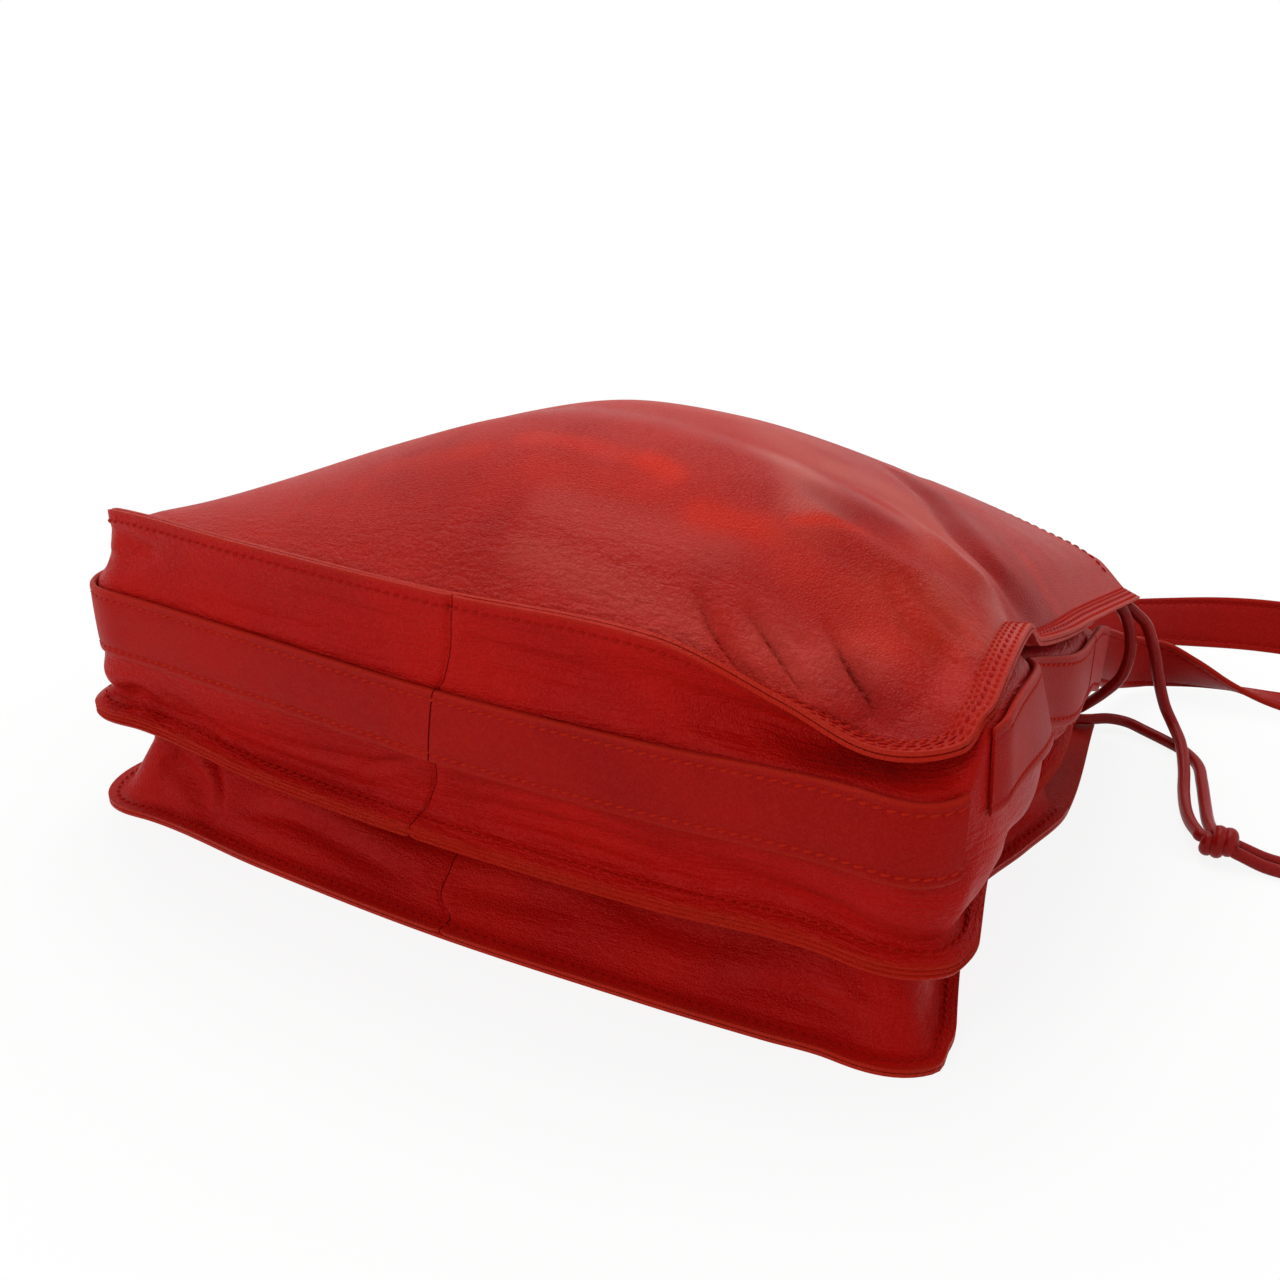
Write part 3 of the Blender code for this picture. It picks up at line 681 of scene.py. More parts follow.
def cord_curve(name, route, steps_per_metre=400):
    """A round cord on a smooth route given in millimetres."""
    length = np.linalg.norm(np.diff(np.array(route, float), axis=0), axis=1).sum() * MM
    points = smooth_route(route, max(12, round(length * steps_per_metre))) * MM
    curve = bpy.data.curves.new(name, "CURVE")
    curve.dimensions = "3D"
    curve.bevel_depth = CORD_DIAMETER / 2
    curve.bevel_resolution = 5
    curve.use_fill_caps = True
    spline = curve.splines.new("POLY")
    spline.points.add(len(points) - 1)
    spline.points.foreach_set("co", np.column_stack([points, np.ones(len(points))]).ravel())
    spline.use_smooth = True
    piece = bpy.data.objects.new(name, curve)
    bpy.context.scene.collection.objects.link(piece)
    real = np.linalg.norm(np.diff(points, axis=0), axis=1).sum()
    return piece, points, real


def add_cord(name, route, node):
    piece, points, length = cord_curve(name, route)
    finish_piece(piece, CORD_LEATHER, "cord_leather", node)


KNOT_CENTRE = np.array((258.5, 38, 8.4)) * MM
KNOT_TURNS = 2.4
KNOT_PITCH = 0.0052
KNOT_RADIUS = 0.0040
KNOT_LEAN = 0.0012
KNOT_PHASE = 2.2
KNOT_SWELL = 1.12
KNOT_NECK = 1.0
KNOT_OVERLAP = 0.0003
KNOT_BEND = 0.0020


def overhand_knot(name):
    """The cords' overhand knot: one strand that winds round itself, and the four strands that leave it."""
    share = np.linspace(0, 1, 110)
    angles = 2 * math.pi * KNOT_TURNS * share + KNOT_PHASE
    ring = KNOT_RADIUS * np.clip(np.minimum(share, 1 - share) * 7, 0.15, 1) ** 0.5
    wound = np.stack(
        [
            KNOT_PITCH * (KNOT_TURNS - 0.6) * (share - 0.5) + KNOT_LEAN * np.sin(angles),
            ring * np.cos(angles), ring * np.sin(angles),
        ],
        axis=1,
    )
    curve = bpy.data.curves.new(name, "CURVE")
    curve.dimensions = "3D"
    curve.bevel_depth = CORD_DIAMETER / 2
    curve.bevel_resolution = 5
    curve.use_fill_caps = True
    strands = [(wound + KNOT_CENTRE, False, KNOT_SWELL)]
    for route, end in (
        (FRONT_CORD_ROUTE, -1), (BACK_CORD_ROUTE, -1), (TAIL_LONG_ROUTE, 0), (TAIL_SHORT_ROUTE, 0),
    ):
        inner = np.array(route[end + (1 if end == 0 else -1)], float) * MM
        tip = np.array(route[end], float) * MM
        onward = (tip - inner) / np.linalg.norm(inner - tip)
        bend = [tip - onward * KNOT_OVERLAP, tip + onward * KNOT_BEND, KNOT_CENTRE * 0.5 + tip * 0.5, KNOT_CENTRE]
        strands.append((smooth_route(bend, 14), False, KNOT_NECK))
    for points, closed, swell in strands:
        spline = curve.splines.new("POLY")
        spline.points.add(len(points) - 1)
        spline.points.foreach_set("co", np.column_stack([points, np.ones(len(points))]).ravel())
        spline.points.foreach_set("radius", np.full(len(points), swell))
        spline.use_cyclic_u = closed
        spline.use_smooth = True
    piece = bpy.data.objects.new(name, curve)
    bpy.context.scene.collection.objects.link(piece)
    return piece


knot = finish_piece(overhand_knot("knot"), CORD_LEATHER, "cord_leather", "tie_knot")
add_cord("cord_front", FRONT_CORD_ROUTE, "tie_cord_front")
add_cord("cord_back", BACK_CORD_ROUTE, "tie_cord_back")
add_cord("cord_link", LINK_CORD_ROUTE, "tie_cord_link")
add_cord("tail_long", TAIL_LONG_ROUTE, "tie_tail_long")
add_cord("tail_short", TAIL_SHORT_ROUTE, "tie_tail_short")

# ------------------------------------------------------------------ creases, marks and hems

CREASE_FADE = 0.6
CREASE_DEPTH = 1.5
CREASE_SHOULDER = 0.9


def line_distance(spots, line):
    """How far 2-D spots lie from a smooth line given in millimetres, and how far along it (0 to 1)."""
    line = smooth_route(line, 4 * (len(line) - 1)) * MM
    lengths = np.linalg.norm(np.diff(line, axis=0), axis=1)
    nearest = np.full(spots.shape[:-1], np.inf)
    along = np.zeros(spots.shape[:-1])
    gone = 0.0
    for start, end, length in zip(line[:-1], line[1:], lengths):
        step = end - start
        share = np.clip(((spots - start) @ step) / length**2, 0, 1)
        away = np.linalg.norm(spots - start - share[..., None] * step, axis=-1)
        nearer = away < nearest
        nearest = np.where(nearer, away, nearest)
        along = np.where(nearer, (gone + share * length) / lengths.sum(), along)
        gone += length
    return nearest, along


def creased(spots, creases):
    """Height of drawn creases, each a line with its width and depth in millimetres, fading at its ends."""
    height = np.zeros(spots.shape[:-1])
    for width, depth, *line in creases:
        away, along = line_distance(spots, line)
        square = (away / (width * MM)) ** 2
        fade = np.sin(np.pi * np.clip(along, 0, 1)) ** CREASE_FADE
        height -= CREASE_DEPTH * depth * MM * fade * (1 - CREASE_SHOULDER * square) * np.exp(-square)
    return height


MARK_EDGE = 2.6


def smeared(spots, smears):
    """Strength of a painted mark, from lines with their width in millimetres and their strength."""
    total = np.zeros(spots.shape[:-1])
    for width, strength, *line in smears:
        away, along = line_distance(spots, line)
        total = np.maximum(total, strength * np.exp(-(away / (width * MM)) ** MARK_EDGE))
    return total


HEM_DEPTH = 0.012
HEM_GAP = 0.0016


def hemmed(grid, inward, at_start=True):
    """A sheet whose mouth edge is turned over to the inside; inward is the sign of the side it turns to."""
    if not at_start:
        return hemmed(grid[::-1], -inward)[::-1]
    normals = grid_normals(grid) * inward
    middle = grid[:, grid.shape[1] // 2]
    gone = np.concatenate([[0.0], np.cumsum(np.linalg.norm(np.diff(middle, axis=0), axis=1))])
    count = int(np.searchsorted(gone, HEM_DEPTH))
    back = grid[0] - grid[1]
    back /= np.linalg.norm(back, axis=1, keepdims=True)
    radius = HEM_GAP / 2
    centre = grid[0] + normals[0] * radius
    turned = grid[1:count + 1] + normals[1:count + 1] * HEM_GAP
    bend = [
        centre - normals[0] * math.cos(angle) * radius + back * math.sin(angle) * radius
        for angle in (math.pi, math.pi * 0.75, math.pi / 2, math.pi / 4)
    ]
    return np.concatenate([turned[::-1], np.stack(bend), grid])


# ------------------------------------------------------------------ stitches

STITCH_PITCH = 0.0042
STITCH_LENGTH = 0.0041
STITCH_RADIUS = 0.00056
STITCH_SLANT = 0.30
STITCH_SIDES = 5
# Place along a stitch, its thickness there and how high it lies, in its own length and radius
STITCH_RINGS = ((-0.5, 0.35, -1.0), (-0.34, 0.9, 0.0), (0.0, 1.0, 0.35), (0.34, 0.9, 0.0), (0.5, 0.35, -1.0))


def sew(name, rows, thread, slot, pitch=STITCH_PITCH, length=STITCH_LENGTH, radius=STITCH_RADIUS):
    """Rows of one stitch, copied at an even pitch along lines on the leather's surface."""
    verts, faces = [], []
    ring_size, stitch_size = STITCH_SIDES, STITCH_SIDES * len(STITCH_RINGS)
    one = grid_faces(len(STITCH_RINGS), STITCH_SIDES, closed=True)
    one += [tuple(range(ring_size))[::-1], tuple(range(stitch_size - ring_size, stitch_size))]
    for points, away in rows:
        places = np.concatenate([[0.0], np.cumsum(np.linalg.norm(np.diff(points, axis=0), axis=1))])
        count = int(places[-1] / pitch)
        centres = (np.arange(count) + 0.5) * places[-1] / count

        def read(values, where):
            return np.stack([np.interp(where, places, values[:, axis]) for axis in range(3)], axis=1)

        along = read(points, centres + length / 2) - read(points, centres - length / 2)
        along /= np.linalg.norm(along, axis=1, keepdims=True)
        up = read(away, centres)
        up -= along * (up * along).sum(axis=1, keepdims=True)
        up /= np.linalg.norm(up, axis=1, keepdims=True)
        side = np.cross(up, along)
        along = along * math.cos(STITCH_SLANT) + side * math.sin(STITCH_SLANT)
        side = np.cross(up, along)
        middle = read(points, centres)
        rings = []
        for place, thick, high in STITCH_RINGS:
            for step in range(STITCH_SIDES):
                angle = 2 * math.pi * step / STITCH_SIDES
                rings.append(
                    middle + along * place * length
                    + (side * math.cos(angle) + up * math.sin(angle)) * radius * thick + up * high * radius
                )
        stitches = np.stack(rings, axis=1)
        for stitch in range(count):
            start = len(verts) + stitch * stitch_size
            faces.extend(tuple(start + index for index in face) for face in one)
        verts.extend(stitches.reshape(-1, 3))
    piece = mesh_from(name, verts, faces)
    face_outwards(piece)
    smooth_shade(piece, 60)
    return finish_piece(piece, thread, slot)


def face_outwards(piece):
    clear_selection()
    piece.select_set(True)
    bpy.context.view_layer.objects.active = piece
    bpy.ops.object.mode_set(mode="EDIT")
    bpy.ops.mesh.select_all(action="SELECT")
    bpy.ops.mesh.normals_make_consistent(inside=False)
    bpy.ops.object.mode_set(mode="OBJECT")


def flange_row(places, root_name, edge_name, inset, layer, side):
    """A line on one face of a sewn flange, a distance in from its edge, and the way that it faces."""
    points = fold_points(places)
    edge, root = layered(points, edge_name, layer), layered(points, root_name, layer)
    pairs = edge + (root - edge) * inset / FLANGE
    away_pairs = (layered(points, edge_name, 1.0) - layered(points, edge_name, 0.0)) * side
    outward = seam_line(places)[1]
    away = outward * away_pairs[:, :1]
    away[:, 2] = away_pairs[:, 1]
    return to_space(places, pairs) + away * LEATHER / 2, away


# ------------------------------------------------------------------ gussets

GRID_STEP = 0.0017
HALF_GAP = JOIN_GAP / 2
# Where the seam that joins the two halves runs, sideways by height, in millimetres
JOIN_SLANT = (
    (2, 6), (6, -5), (12, -7), (24, -10), (32, -17), (43, -13), (72, -1), (74, -1), (100, 3), (103, 5), (136, 12),
)
JOIN_REACH = 0.050
JOIN_SINK = 0.0009
JOIN_EDGE = 0.0016


def even_places(first, last, step=GRID_STEP):
    return np.linspace(first, last, max(2, round((last - first) / step)) + 1)


def half_places(first, last):
    """Places along one half, closer together beside the join at the middle of the bottom."""
    near = np.array((0.0, 0.0005, 0.0010, 0.0016, 0.0024))
    if abs(last - CENTRE) < GRID_STEP:
        return np.concatenate([even_places(first, last - 0.0036), (last - near)[::-1]])
    return np.concatenate([first + near, even_places(first + 0.0036, last)])


def joined(grid, places):
    """Slant the middle join as it runs, and turn the two halves' edges in there."""
    away = np.abs(places - CENTRE)
    share = np.clip(1 - away / JOIN_REACH, 0, 1)[:, None]
    slant = smooth_values([(z * MM, x * MM) for z, x in JOIN_SLANT], grid[..., 2])
    sink = JOIN_SINK * np.exp(-((away - HALF_GAP) / JOIN_EDGE) ** 2)
    grid = grid.copy()
    grid[..., 0] += slant * share
    grid[..., 1] += sink[:, None]
    return grid


def worn_flange(columns, first, last):
    """Wear for a sheet's columns: the cut edges of its two flanges are rubbed orange."""
    wear_and_highlight = np.zeros(columns)
    for index, value in enumerate((0.55, 0.25)):
        if first:
            wear_and_highlight[index] = value
        if last:
            wear_and_highlight[columns - 1 - index] = value
    return wear_and_highlight


# Creases on the gusset: width, depth, then (distance right of the middle, height), in millimetres
MAIN_GUSSET_CREASES = (
    (5, 1.4, (5, 122), (30, 120.5), (60, 119), (88, 117)), (6, 1.2, (95, 118), (122, 114), (145, 107), (168, 104)),
    (5, 0.9, (60, 125), (84, 123), (108, 116)), (4, 0.8, (15, 112), (45, 111), (75, 109)),
    (4, 0.8, (10, 130), (34, 129), (62, 128)), (4, 0.7, (90, 109), (112, 108), (136, 103)),
    (5, 1.3, (-172, 129), (-155, 130), (-136, 127)), (5, 1.3, (-174, 117), (-155, 121), (-132, 129)),
    (4, 0.8, (-60, 126), (-35, 124), (-8, 123)), (4, 0.7, (-120, 112), (-80, 112), (-40, 110)),
    (7, 2.2, (-186, 71), (-176, 55), (-160, 60), (-147, 49)), (5, 1.2, (-146, 66), (-133, 56), (-118, 48)),
    (5, 1.3, (-125, 47), (-90, 44), (-55, 42), (-28, 42)), (4, 0.9, (-118, 54), (-80, 52), (-45, 55), (-8, 60)),
    (4, 0.9, (-48, 49), (-30, 56), (-8, 67)), (4, 0.9, (6, 61), (30, 63), (60, 64), (85, 62)),
    (4, 0.8, (4, 50), (30, 52), (65, 54), (100, 52)), (5, 1.3, (100, 66), (128, 70), (150, 68), (176, 70)),
    (5, 1.1, (108, 54), (135, 53), (160, 55), (180, 52)), (4, 0.9, (20, 44), (52, 45), (90, 44)),
    (5, 1.2, (204, 60), (216, 58), (236, 62)), (5, 1.0, (208, 110), (222, 104), (246, 108)),
    (6, 1.4, (214, 76), (236, 66), (262, 60)), (5, 1.1, (200, 48), (226, 44), (258, 46)),
    (5, 1.2, (-206, 62), (-226, 60), (-256, 66)), (5, 1.0, (-206, 108), (-230, 104), (-262, 108)),
)
REAR_GUSSET_CREASES = (
    (5, 1.9, (-170, 20), (-152, 15), (-138, 9), (-124, 4)), (4, 2.0, (-162, 24), (-148, 18), (-134, 12)),
    (4, 2.0, (-122, 10), (-108, 12), (-86, 13), (-62, 11), (-35, 9), (-12, 8)), (4, 1.4, (2, 10), (24, 11), (54, 13)),
    (3, 2.0, (-146, 29), (-137, 21), (-130, 13), (-127, 5)), (5, 1.3, (-60, 22), (-20, 20), (20, 21)),
    (5, 1.6, (60, 18), (96, 16), (130, 19)), (4, 1.5, (112, 8), (146, 10), (168, 7)),
    (5, 1.2, (150, 22), (166, 18), (180, 20)), (5, 1.2, (206, 16), (226, 13), (250, 16)),
    (5, 1.2, (-206, 16), (-226, 13), (-250, 16)),
)


# How crumpled the thin leather of each gusset is, from 0 to 1
CRUMPLE = {"main": 0.55, "rear": 0.30}


def gusset_grid(places, profile, creases):
    """A gusset's sheet in space, with its creases sunk into it."""
    grid = to_space(places, profile)
    spots = np.stack([np.repeat((places - CENTRE)[:, None], profile.shape[1], axis=1), profile[..., 1]], axis=-1)
    normals = grid_normals(grid)
    outward = seam_line(places)[1][:, None, :]
    facing = np.sign((normals * outward).sum(axis=-1, keepdims=True))
    ends = np.clip(np.arange(profile.shape[1]) / 6, 0, 1)
    calm = np.minimum(ends, ends[::-1])[None, :, None]
    return grid + normals * facing * creased(spots, creases)[..., None] * calm


def main_gusset_grid(places):
    points = fold_points(places)
    corners = np.stack(
        [
            layered(points, "seam_edge", LAYER), layered(points, "seam_root", LAYER), points["lobe"],
            points["band_low"], points["band_high"], points["tuck"],
            layered(points, "hem_root", LAYER / 2), layered(points, "hem_edge", LAYER / 2),
        ],
        axis=1,
    )
    profile = rounded(
        corners, (0.003, 0.03, 0.004, 0.004, 0.03, 0.003), (6, 4, 4, 10, 4, 4, 6), (4, 16, 4, 4, 16, 4),
    )
    return gusset_grid(places, profile, MAIN_GUSSET_CREASES)


def rear_gusset_grid(places):
    points = fold_points(places)
    corners = np.stack(
        [
            points["floor_edge"], points["floor_root"], points["rear_fold"],
            layered(points, "seam_root", -LAYER), layered(points, "seam_edge", -LAYER),
        ],
        axis=1,
    )
    profile = rounded(corners, (0.003, 0.006, 0.003), (6, 10, 10, 6), (4, 8, 4))
    return gusset_grid(places, profile, REAR_GUSSET_CREASES)


for side, first, last in (("left", GUSSET_START, CENTRE - HALF_GAP), ("right", CENTRE + HALF_GAP, GUSSET_END)):
    for kind, make_grid in (("main", main_gusset_grid), ("rear", rear_gusset_grid)):
        places = half_places(first, last)
        grid = joined(make_grid(places), places)
        grid = hemmed(grid, -1, at_start=side == "left")
        columns = grid.shape[1]
        marks = {
            "wear_and_highlight": np.repeat(worn_flange(columns, True, True)[None, :], grid.shape[0], axis=0),
            "crease": np.full(grid.shape[:2], CRUMPLE[kind]),
        }
        piece = leather_sheet(f"{kind}_gusset_{side}_leather", grid, LEATHER, marks)
        finish_piece(piece, GUSSET_NAPPA, "body_leather", f"{kind}_gusset_{side}")

# ------------------------------------------------------------------ panels


def crown(share, depth):
    return CROWN_HEIGHT * smooth_values(CROWN_PROFILE, depth) * smooth_values(CROWN_ACROSS, share)


def middle_sag(share, depth):
    return -0.008 * (1 - (2 * share - 1) ** 2) * np.clip(depth, 0, 1)


def flat(share, depth):
    return np.zeros_like(share)


EDGE_SHARE = 0.04
PANEL_COLUMNS = 220
FLANGE_STEPS = 6

# Creases on the front panel: width, depth, then (distance right of the middle, distance above the bottom)
FRONT_CREASES = (
    (2.6, 2.4, (92, 27), (102, 18), (112, 12), (126, 7)), (2.6, 2.5, (108, 28), (123, 20), (132, 15), (142, 10)),
    (2.6, 2.0, (133, 36), (144, 27), (155, 19), (165, 11)), (2.4, 1.7, (141, 30), (151, 23), (160, 18), (169, 12)),
    (3.6, 1.3, (146, 60), (160, 50), (171, 47), (181, 41)), (3.0, 1.1, (155, 48), (167, 44), (177, 39)),
    (3.0, 1.2, (148, 68), (164, 61), (176, 58), (183, 51)), (2.6, 1.0, (126, 13), (138, 5), (152, 1)),
    (2.4, 0.8, (88, 14), (98, 8), (110, 4)), (2.2, 0.8, (84, 9), (92, 6), (100, 3)),
    (2.6, 0.9, (112, 6), (128, 4), (146, 2)), (2.4, 0.8, (118, 27), (128, 24), (138, 26)),
    (12.0, 3.0, (-20, 291), (50, 291), (120, 291), (180, 291)),
    (9.0, 2.4, (104, 196), (112, 184), (126, 171), (153, 136), (169, 130), (182, 139), (200, 150)),
    (7.0, -1.3, (112, 120), (125, 118), (137, 115), (161, 93), (174, 100), (184, 122)),
    (8.0, -1.2, (92, 84), (118, 74), (146, 70), (170, 78)), (3.0, 0.8, (60, 10), (74, 6), (90, 2)),
    (3.0, 0.8, (-172, 22), (-158, 15), (-140, 8)), (3.0, 0.7, (-160, 30), (-144, 18), (-124, 8)),
    (2.6, 0.7, (-60, 6), (-36, 4), (-8, 5)), (2.6, 0.7, (10, 7), (32, 5), (58, 7)),
    (5.0, 1.2, (-176, 120), (-160, 110), (-140, 106)), (5.0, 1.0, (-174, 200), (-150, 196), (-120, 204)),
    (6.0, 1.3, (-60, 276), (-52, 250), (-48, 226)), (6.0, 1.3, (20, 278), (28, 256), (36, 236)),
    (6.0, 1.2, (90, 276), (96, 252), (98, 232)), (6.0, 1.2, (-130, 274), (-120, 252), (-116, 236)),
)
FRONT_MARKS = {
    # Painted highlight: pale pink where the key light and sheen fall on the dome
    "painted_highlight": (
        (11, 0.75, (88, 108), (97, 100), (108, 88), (112, 78)), (13, 0.6, (100, 132), (120, 139), (140, 124), (158, 96)),
        (14, 0.45, (70, 140), (92, 130), (110, 140)), (9, 0.5, (176, 92), (184, 78), (179, 63), (164, 70)),
        (9, 0.22, (24, 44), (61, 41), (92, 44)), (8, 0.22, (24, 26), (62, 20), (98, 14)),
        (22, 0.35, (-20, 150), (30, 160), (70, 165)), (10, 0.3, (120, 20), (140, 22), (150, 30)),
    ),
    "dye": (
        (5, 0.5, (-4, 72), (19, 72), (34, 70), (50, 70)), (6, 0.85, (50, 70), (56, 69), (62, 67)),
        (7, 0.6, (80, 54), (90, 55), (104, 58)), (3, 0.75, (110, 66), (119, 72), (130, 76)),
        (8, 0.22, (8, 60), (34, 58), (60, 60)), (10, 0.4, (124, 44), (140, 42), (150, 36)),
        (6, 0.4, (166, 172), (176, 168), (184, 172)), (5, 0.35, (-60, 60), (-40, 62), (-20, 66)),
    ),
    # Painted shade: darker red in the dome's folds and valleys, where the light does not reach
    "shade": (
        (9, 0.45, (112, 86), (124, 84), (134, 88)), (7, 0.35, (116, 104), (122, 96), (130, 92)),
        (10, 0.55, (116, 192), (132, 174), (156, 142), (170, 136), (184, 146)),
        (16, 0.30, (126, 190), (148, 168), (172, 150), (186, 158)), (12, 0.45, (150, 20), (164, 15), (176, 14)),
        (14, 0.35, (96, 34), (116, 32), (134, 40)), (20, 0.28, (-50, 66), (-20, 40), (10, 24)),
        (18, 0.22, (-150, 40), (-110, 30), (-70, 30)), (6, 0.35, (126, 64), (136, 60), (142, 66)),
    ),
    # Lighter orange on the dome: painted highlight on the ridges that catch the light, not wear
    "wear_and_highlight": ((14, 0.6, (146, 58), (158, 54), (170, 60)), (4, 0.45, (122, 112), (140, 106), (160, 92), (174, 98)), (5, 0.4, (108, 58), (116, 62), (124, 66))),
    "crease": (
        (26, 0.8, (-8, 14), (40, 14), (92, 14)), (20, 0.7, (92, 12), (126, 12), (160, 12)),
        (22, 0.5, (150, 60), (166, 56), (182, 52)), (20, 0.5, (-180, 14), (-100, 10), (-20, 10)),
    ),
}


def panel_grid(root_name, layer, height_at):
    """Inner grid of a panel: rows run from the mouth to the bottom seam."""
    sides = np.concatenate([even_places(0.0, SIDE_LENGTH), even_places(SIDE_LENGTH, BOTTOM_START, 0.0025)[1:]])
    bottom_places = np.linspace(BOTTOM_START, BOTTOM_END, PANEL_COLUMNS + 1)
    root = lambda places: to_space(places, layered(fold_points(places), root_name, layer))
    left, right, bottom = root(sides), root(LINE_LENGTH - sides), root(bottom_places)
    share = np.linspace(0, 1, PANEL_COLUMNS + 1)[None, :]
    depth = ((seam_line(sides)[0][:, 1] - BOTTOM_Y) / BODY_HEIGHT)[:, None]
    grid = left[:, None, :] * (1 - share[..., None]) + right[:, None, :] * share[..., None]
    inner = np.clip(np.minimum(share, 1 - share) / EDGE_SHARE, 0, 1)
    inner = inner * inner * (3 - 2 * inner)
    even = bottom[None, :, 1] + (MOUTH_Y - bottom[None, :, 1]) * depth
    grid[..., 1] += (even - grid[..., 1]) * inner
    grid[..., 2] += (bottom[None, :, 2] - grid[..., 2]) * inner * (1 - depth) ** 4
    grid[..., 2] += height_at(share + 0 * depth, depth + 0 * share)
    grid[-1] = bottom
    return grid, sides


def spots_above_bottom(points):
    """Places on a panel in plan: distance right of the middle, and distance above the bag's bottom."""
    return np.stack([points[..., 0], points[..., 1] - BOTTOM_Y], axis=-1)


def calm_rim(rows, columns, reach=5):
    """A share that is 0 on a panel's sewn rim and 1 a few steps inside it."""
    across = np.clip(np.arange(columns) / reach, 0, 1)
    down = np.clip((rows - 1 - np.arange(rows)) / reach, 0, 1)
    return np.minimum(np.minimum(across, across[::-1])[None, :], down[:, None])


def panel(node, edge_name, root_name, layer, height_at, material, creases=(), marks=None):
    """A panel: its inner grid, the flange all round it and the hem turned in at its mouth."""
    grid, sides = panel_grid(root_name, layer, height_at)
    rows, columns = grid.shape[:2]
    grid[..., 2] += creased(spots_above_bottom(grid), creases) * calm_rim(rows, columns)
    hem = hemmed(grid, HEM_SIDE[node])[:-rows]
    verts = list(grid.reshape(-1, 3))
    faces = grid_faces(rows, columns)
    rim = (
        [row * columns for row in range(rows)]
        + [(rows - 1) * columns + column for column in range(1, columns)]
        + [row * columns + columns - 1 for row in range(rows - 2, -1, -1)]
    )
    places = np.concatenate(
        [sides, np.linspace(BOTTOM_START, BOTTOM_END, columns)[1:], (LINE_LENGTH - sides)[::-1][1:]]
    )
    points = fold_points(places)
    root = to_space(places, layered(points, root_name, layer))
    edge = to_space(places, layered(points, edge_name, layer))
    wear_and_highlight = [np.zeros(rows * columns)]
    previous = rim
    for step in range(1, FLANGE_STEPS + 1):
        start = len(verts)
        verts.extend(root + (edge - root) * step / FLANGE_STEPS)
        wear_and_highlight.append(np.full(len(places), flange_wear(step)))
        current = list(range(start, start + len(places)))
        for index in range(len(places) - 1):
            faces.append((previous[index], previous[index + 1], current[index + 1], current[index]))
        previous = current
    previous = list(range(columns))
    for row in hem[::-1]:
        start = len(verts)
        verts.extend(row)
        current = list(range(start, start + columns))
        for index in range(columns - 1):
            faces.append((previous[index + 1], previous[index], current[index], current[index + 1]))
        previous = current
        wear_and_highlight.append(np.zeros(columns))
    piece = mesh_from(node + "_leather", verts, faces, np.array(verts)[:, :2])
    wear_and_highlight = np.concatenate(wear_and_highlight)
    spots = spots_above_bottom(np.array(verts))
    # The front panel's painted highlight and painted shade go on here with its dye and creases; its flange edges keep
    # their real wear
    for mark, smears in (marks or {}).items():
        values = smeared(spots, smears)
        paint(piece, mark, np.maximum(values, wear_and_highlight) if mark == "wear_and_highlight" else values)
    if not marks:
        paint(piece, "wear_and_highlight", wear_and_highlight)
    face_outwards(piece)
    shell = piece.modifiers.new("thickness", "SOLIDIFY")
    shell.thickness = LEATHER
    shell.offset = 0.0
    apply_modifiers(piece)
    smooth_shade(piece)
    finish_piece(piece, material, "body_leather", node)
    return grid


def flange_wear(step):
    """Wear across a flange from its root (0) to its cut edge."""
    return 0.55 * float(np.clip((step - FLANGE_STEPS + 2) / 2, 0, 1))


HEM_SIDE = {"front_panel": -1, "middle_panel": 1, "back_panel": 1}
front = panel(
    "front_panel", "hem_edge", "hem_root", -LAYER / 2, crown, BODY_NAPPA, FRONT_CREASES, FRONT_MARKS,
)
middle = panel("middle_panel", "seam_edge", "seam_root", 0.0, middle_sag, GUSSET_NAPPA)
back = panel("back_panel", "floor_edge", "floor_root", -LAYER, flat, BODY_NAPPA)

# ------------------------------------------------------------------ strap and bands

BAND_ROW_INSET = 0.0037
THIN_END = 0.4
THIN_REACH = 0.008


def strip_profile(width, thickness):
    """Half-width and height pairs round a strip: rounded edges, and a dip where each row is sewn."""
    half, low = width / 2, thickness / 2
    top = [
        (-half + 0.0007, low * 0.90), (-half + 0.0016, low * 1.04), (-half + 0.0026, low * 1.04),
        (-half + 0.0031, low * 0.80), (-half + BAND_ROW_INSET, low * 0.62), (-half + 0.0043, low * 0.80),
        (-half + 0.0052, low * 1.04), (-half * 0.35, low * 1.12), (0.0, low * 1.14),
    ]
    top += [(-x, z) for x, z in reversed(top[:-1])]
    side = [(half - 0.0001, low * 0.5), (half, 0.0), (half - 0.0001, -low * 0.5)]
    bottom = [(x, -z) for x, z in reversed(top)]
    other = [(-x, -z) for x, z in side]
    return np.array(top + side + bottom + other)


def strip_frame(low, high, away=None):
    """Centre line of a strip, the way across it and the way that its outer face looks."""
    centre = (low + high) / 2
    across = high - low
    across /= np.linalg.norm(across, axis=1, keepdims=True)
    along = np.gradient(centre, axis=0)
    along /= np.linalg.norm(along, axis=1, keepdims=True)
    normal = np.cross(along, across)
    normal /= np.linalg.norm(normal, axis=1, keepdims=True)
    if away is not None:
        normal *= np.sign((normal * away).sum(axis=1, keepdims=True))
    return centre, across, normal


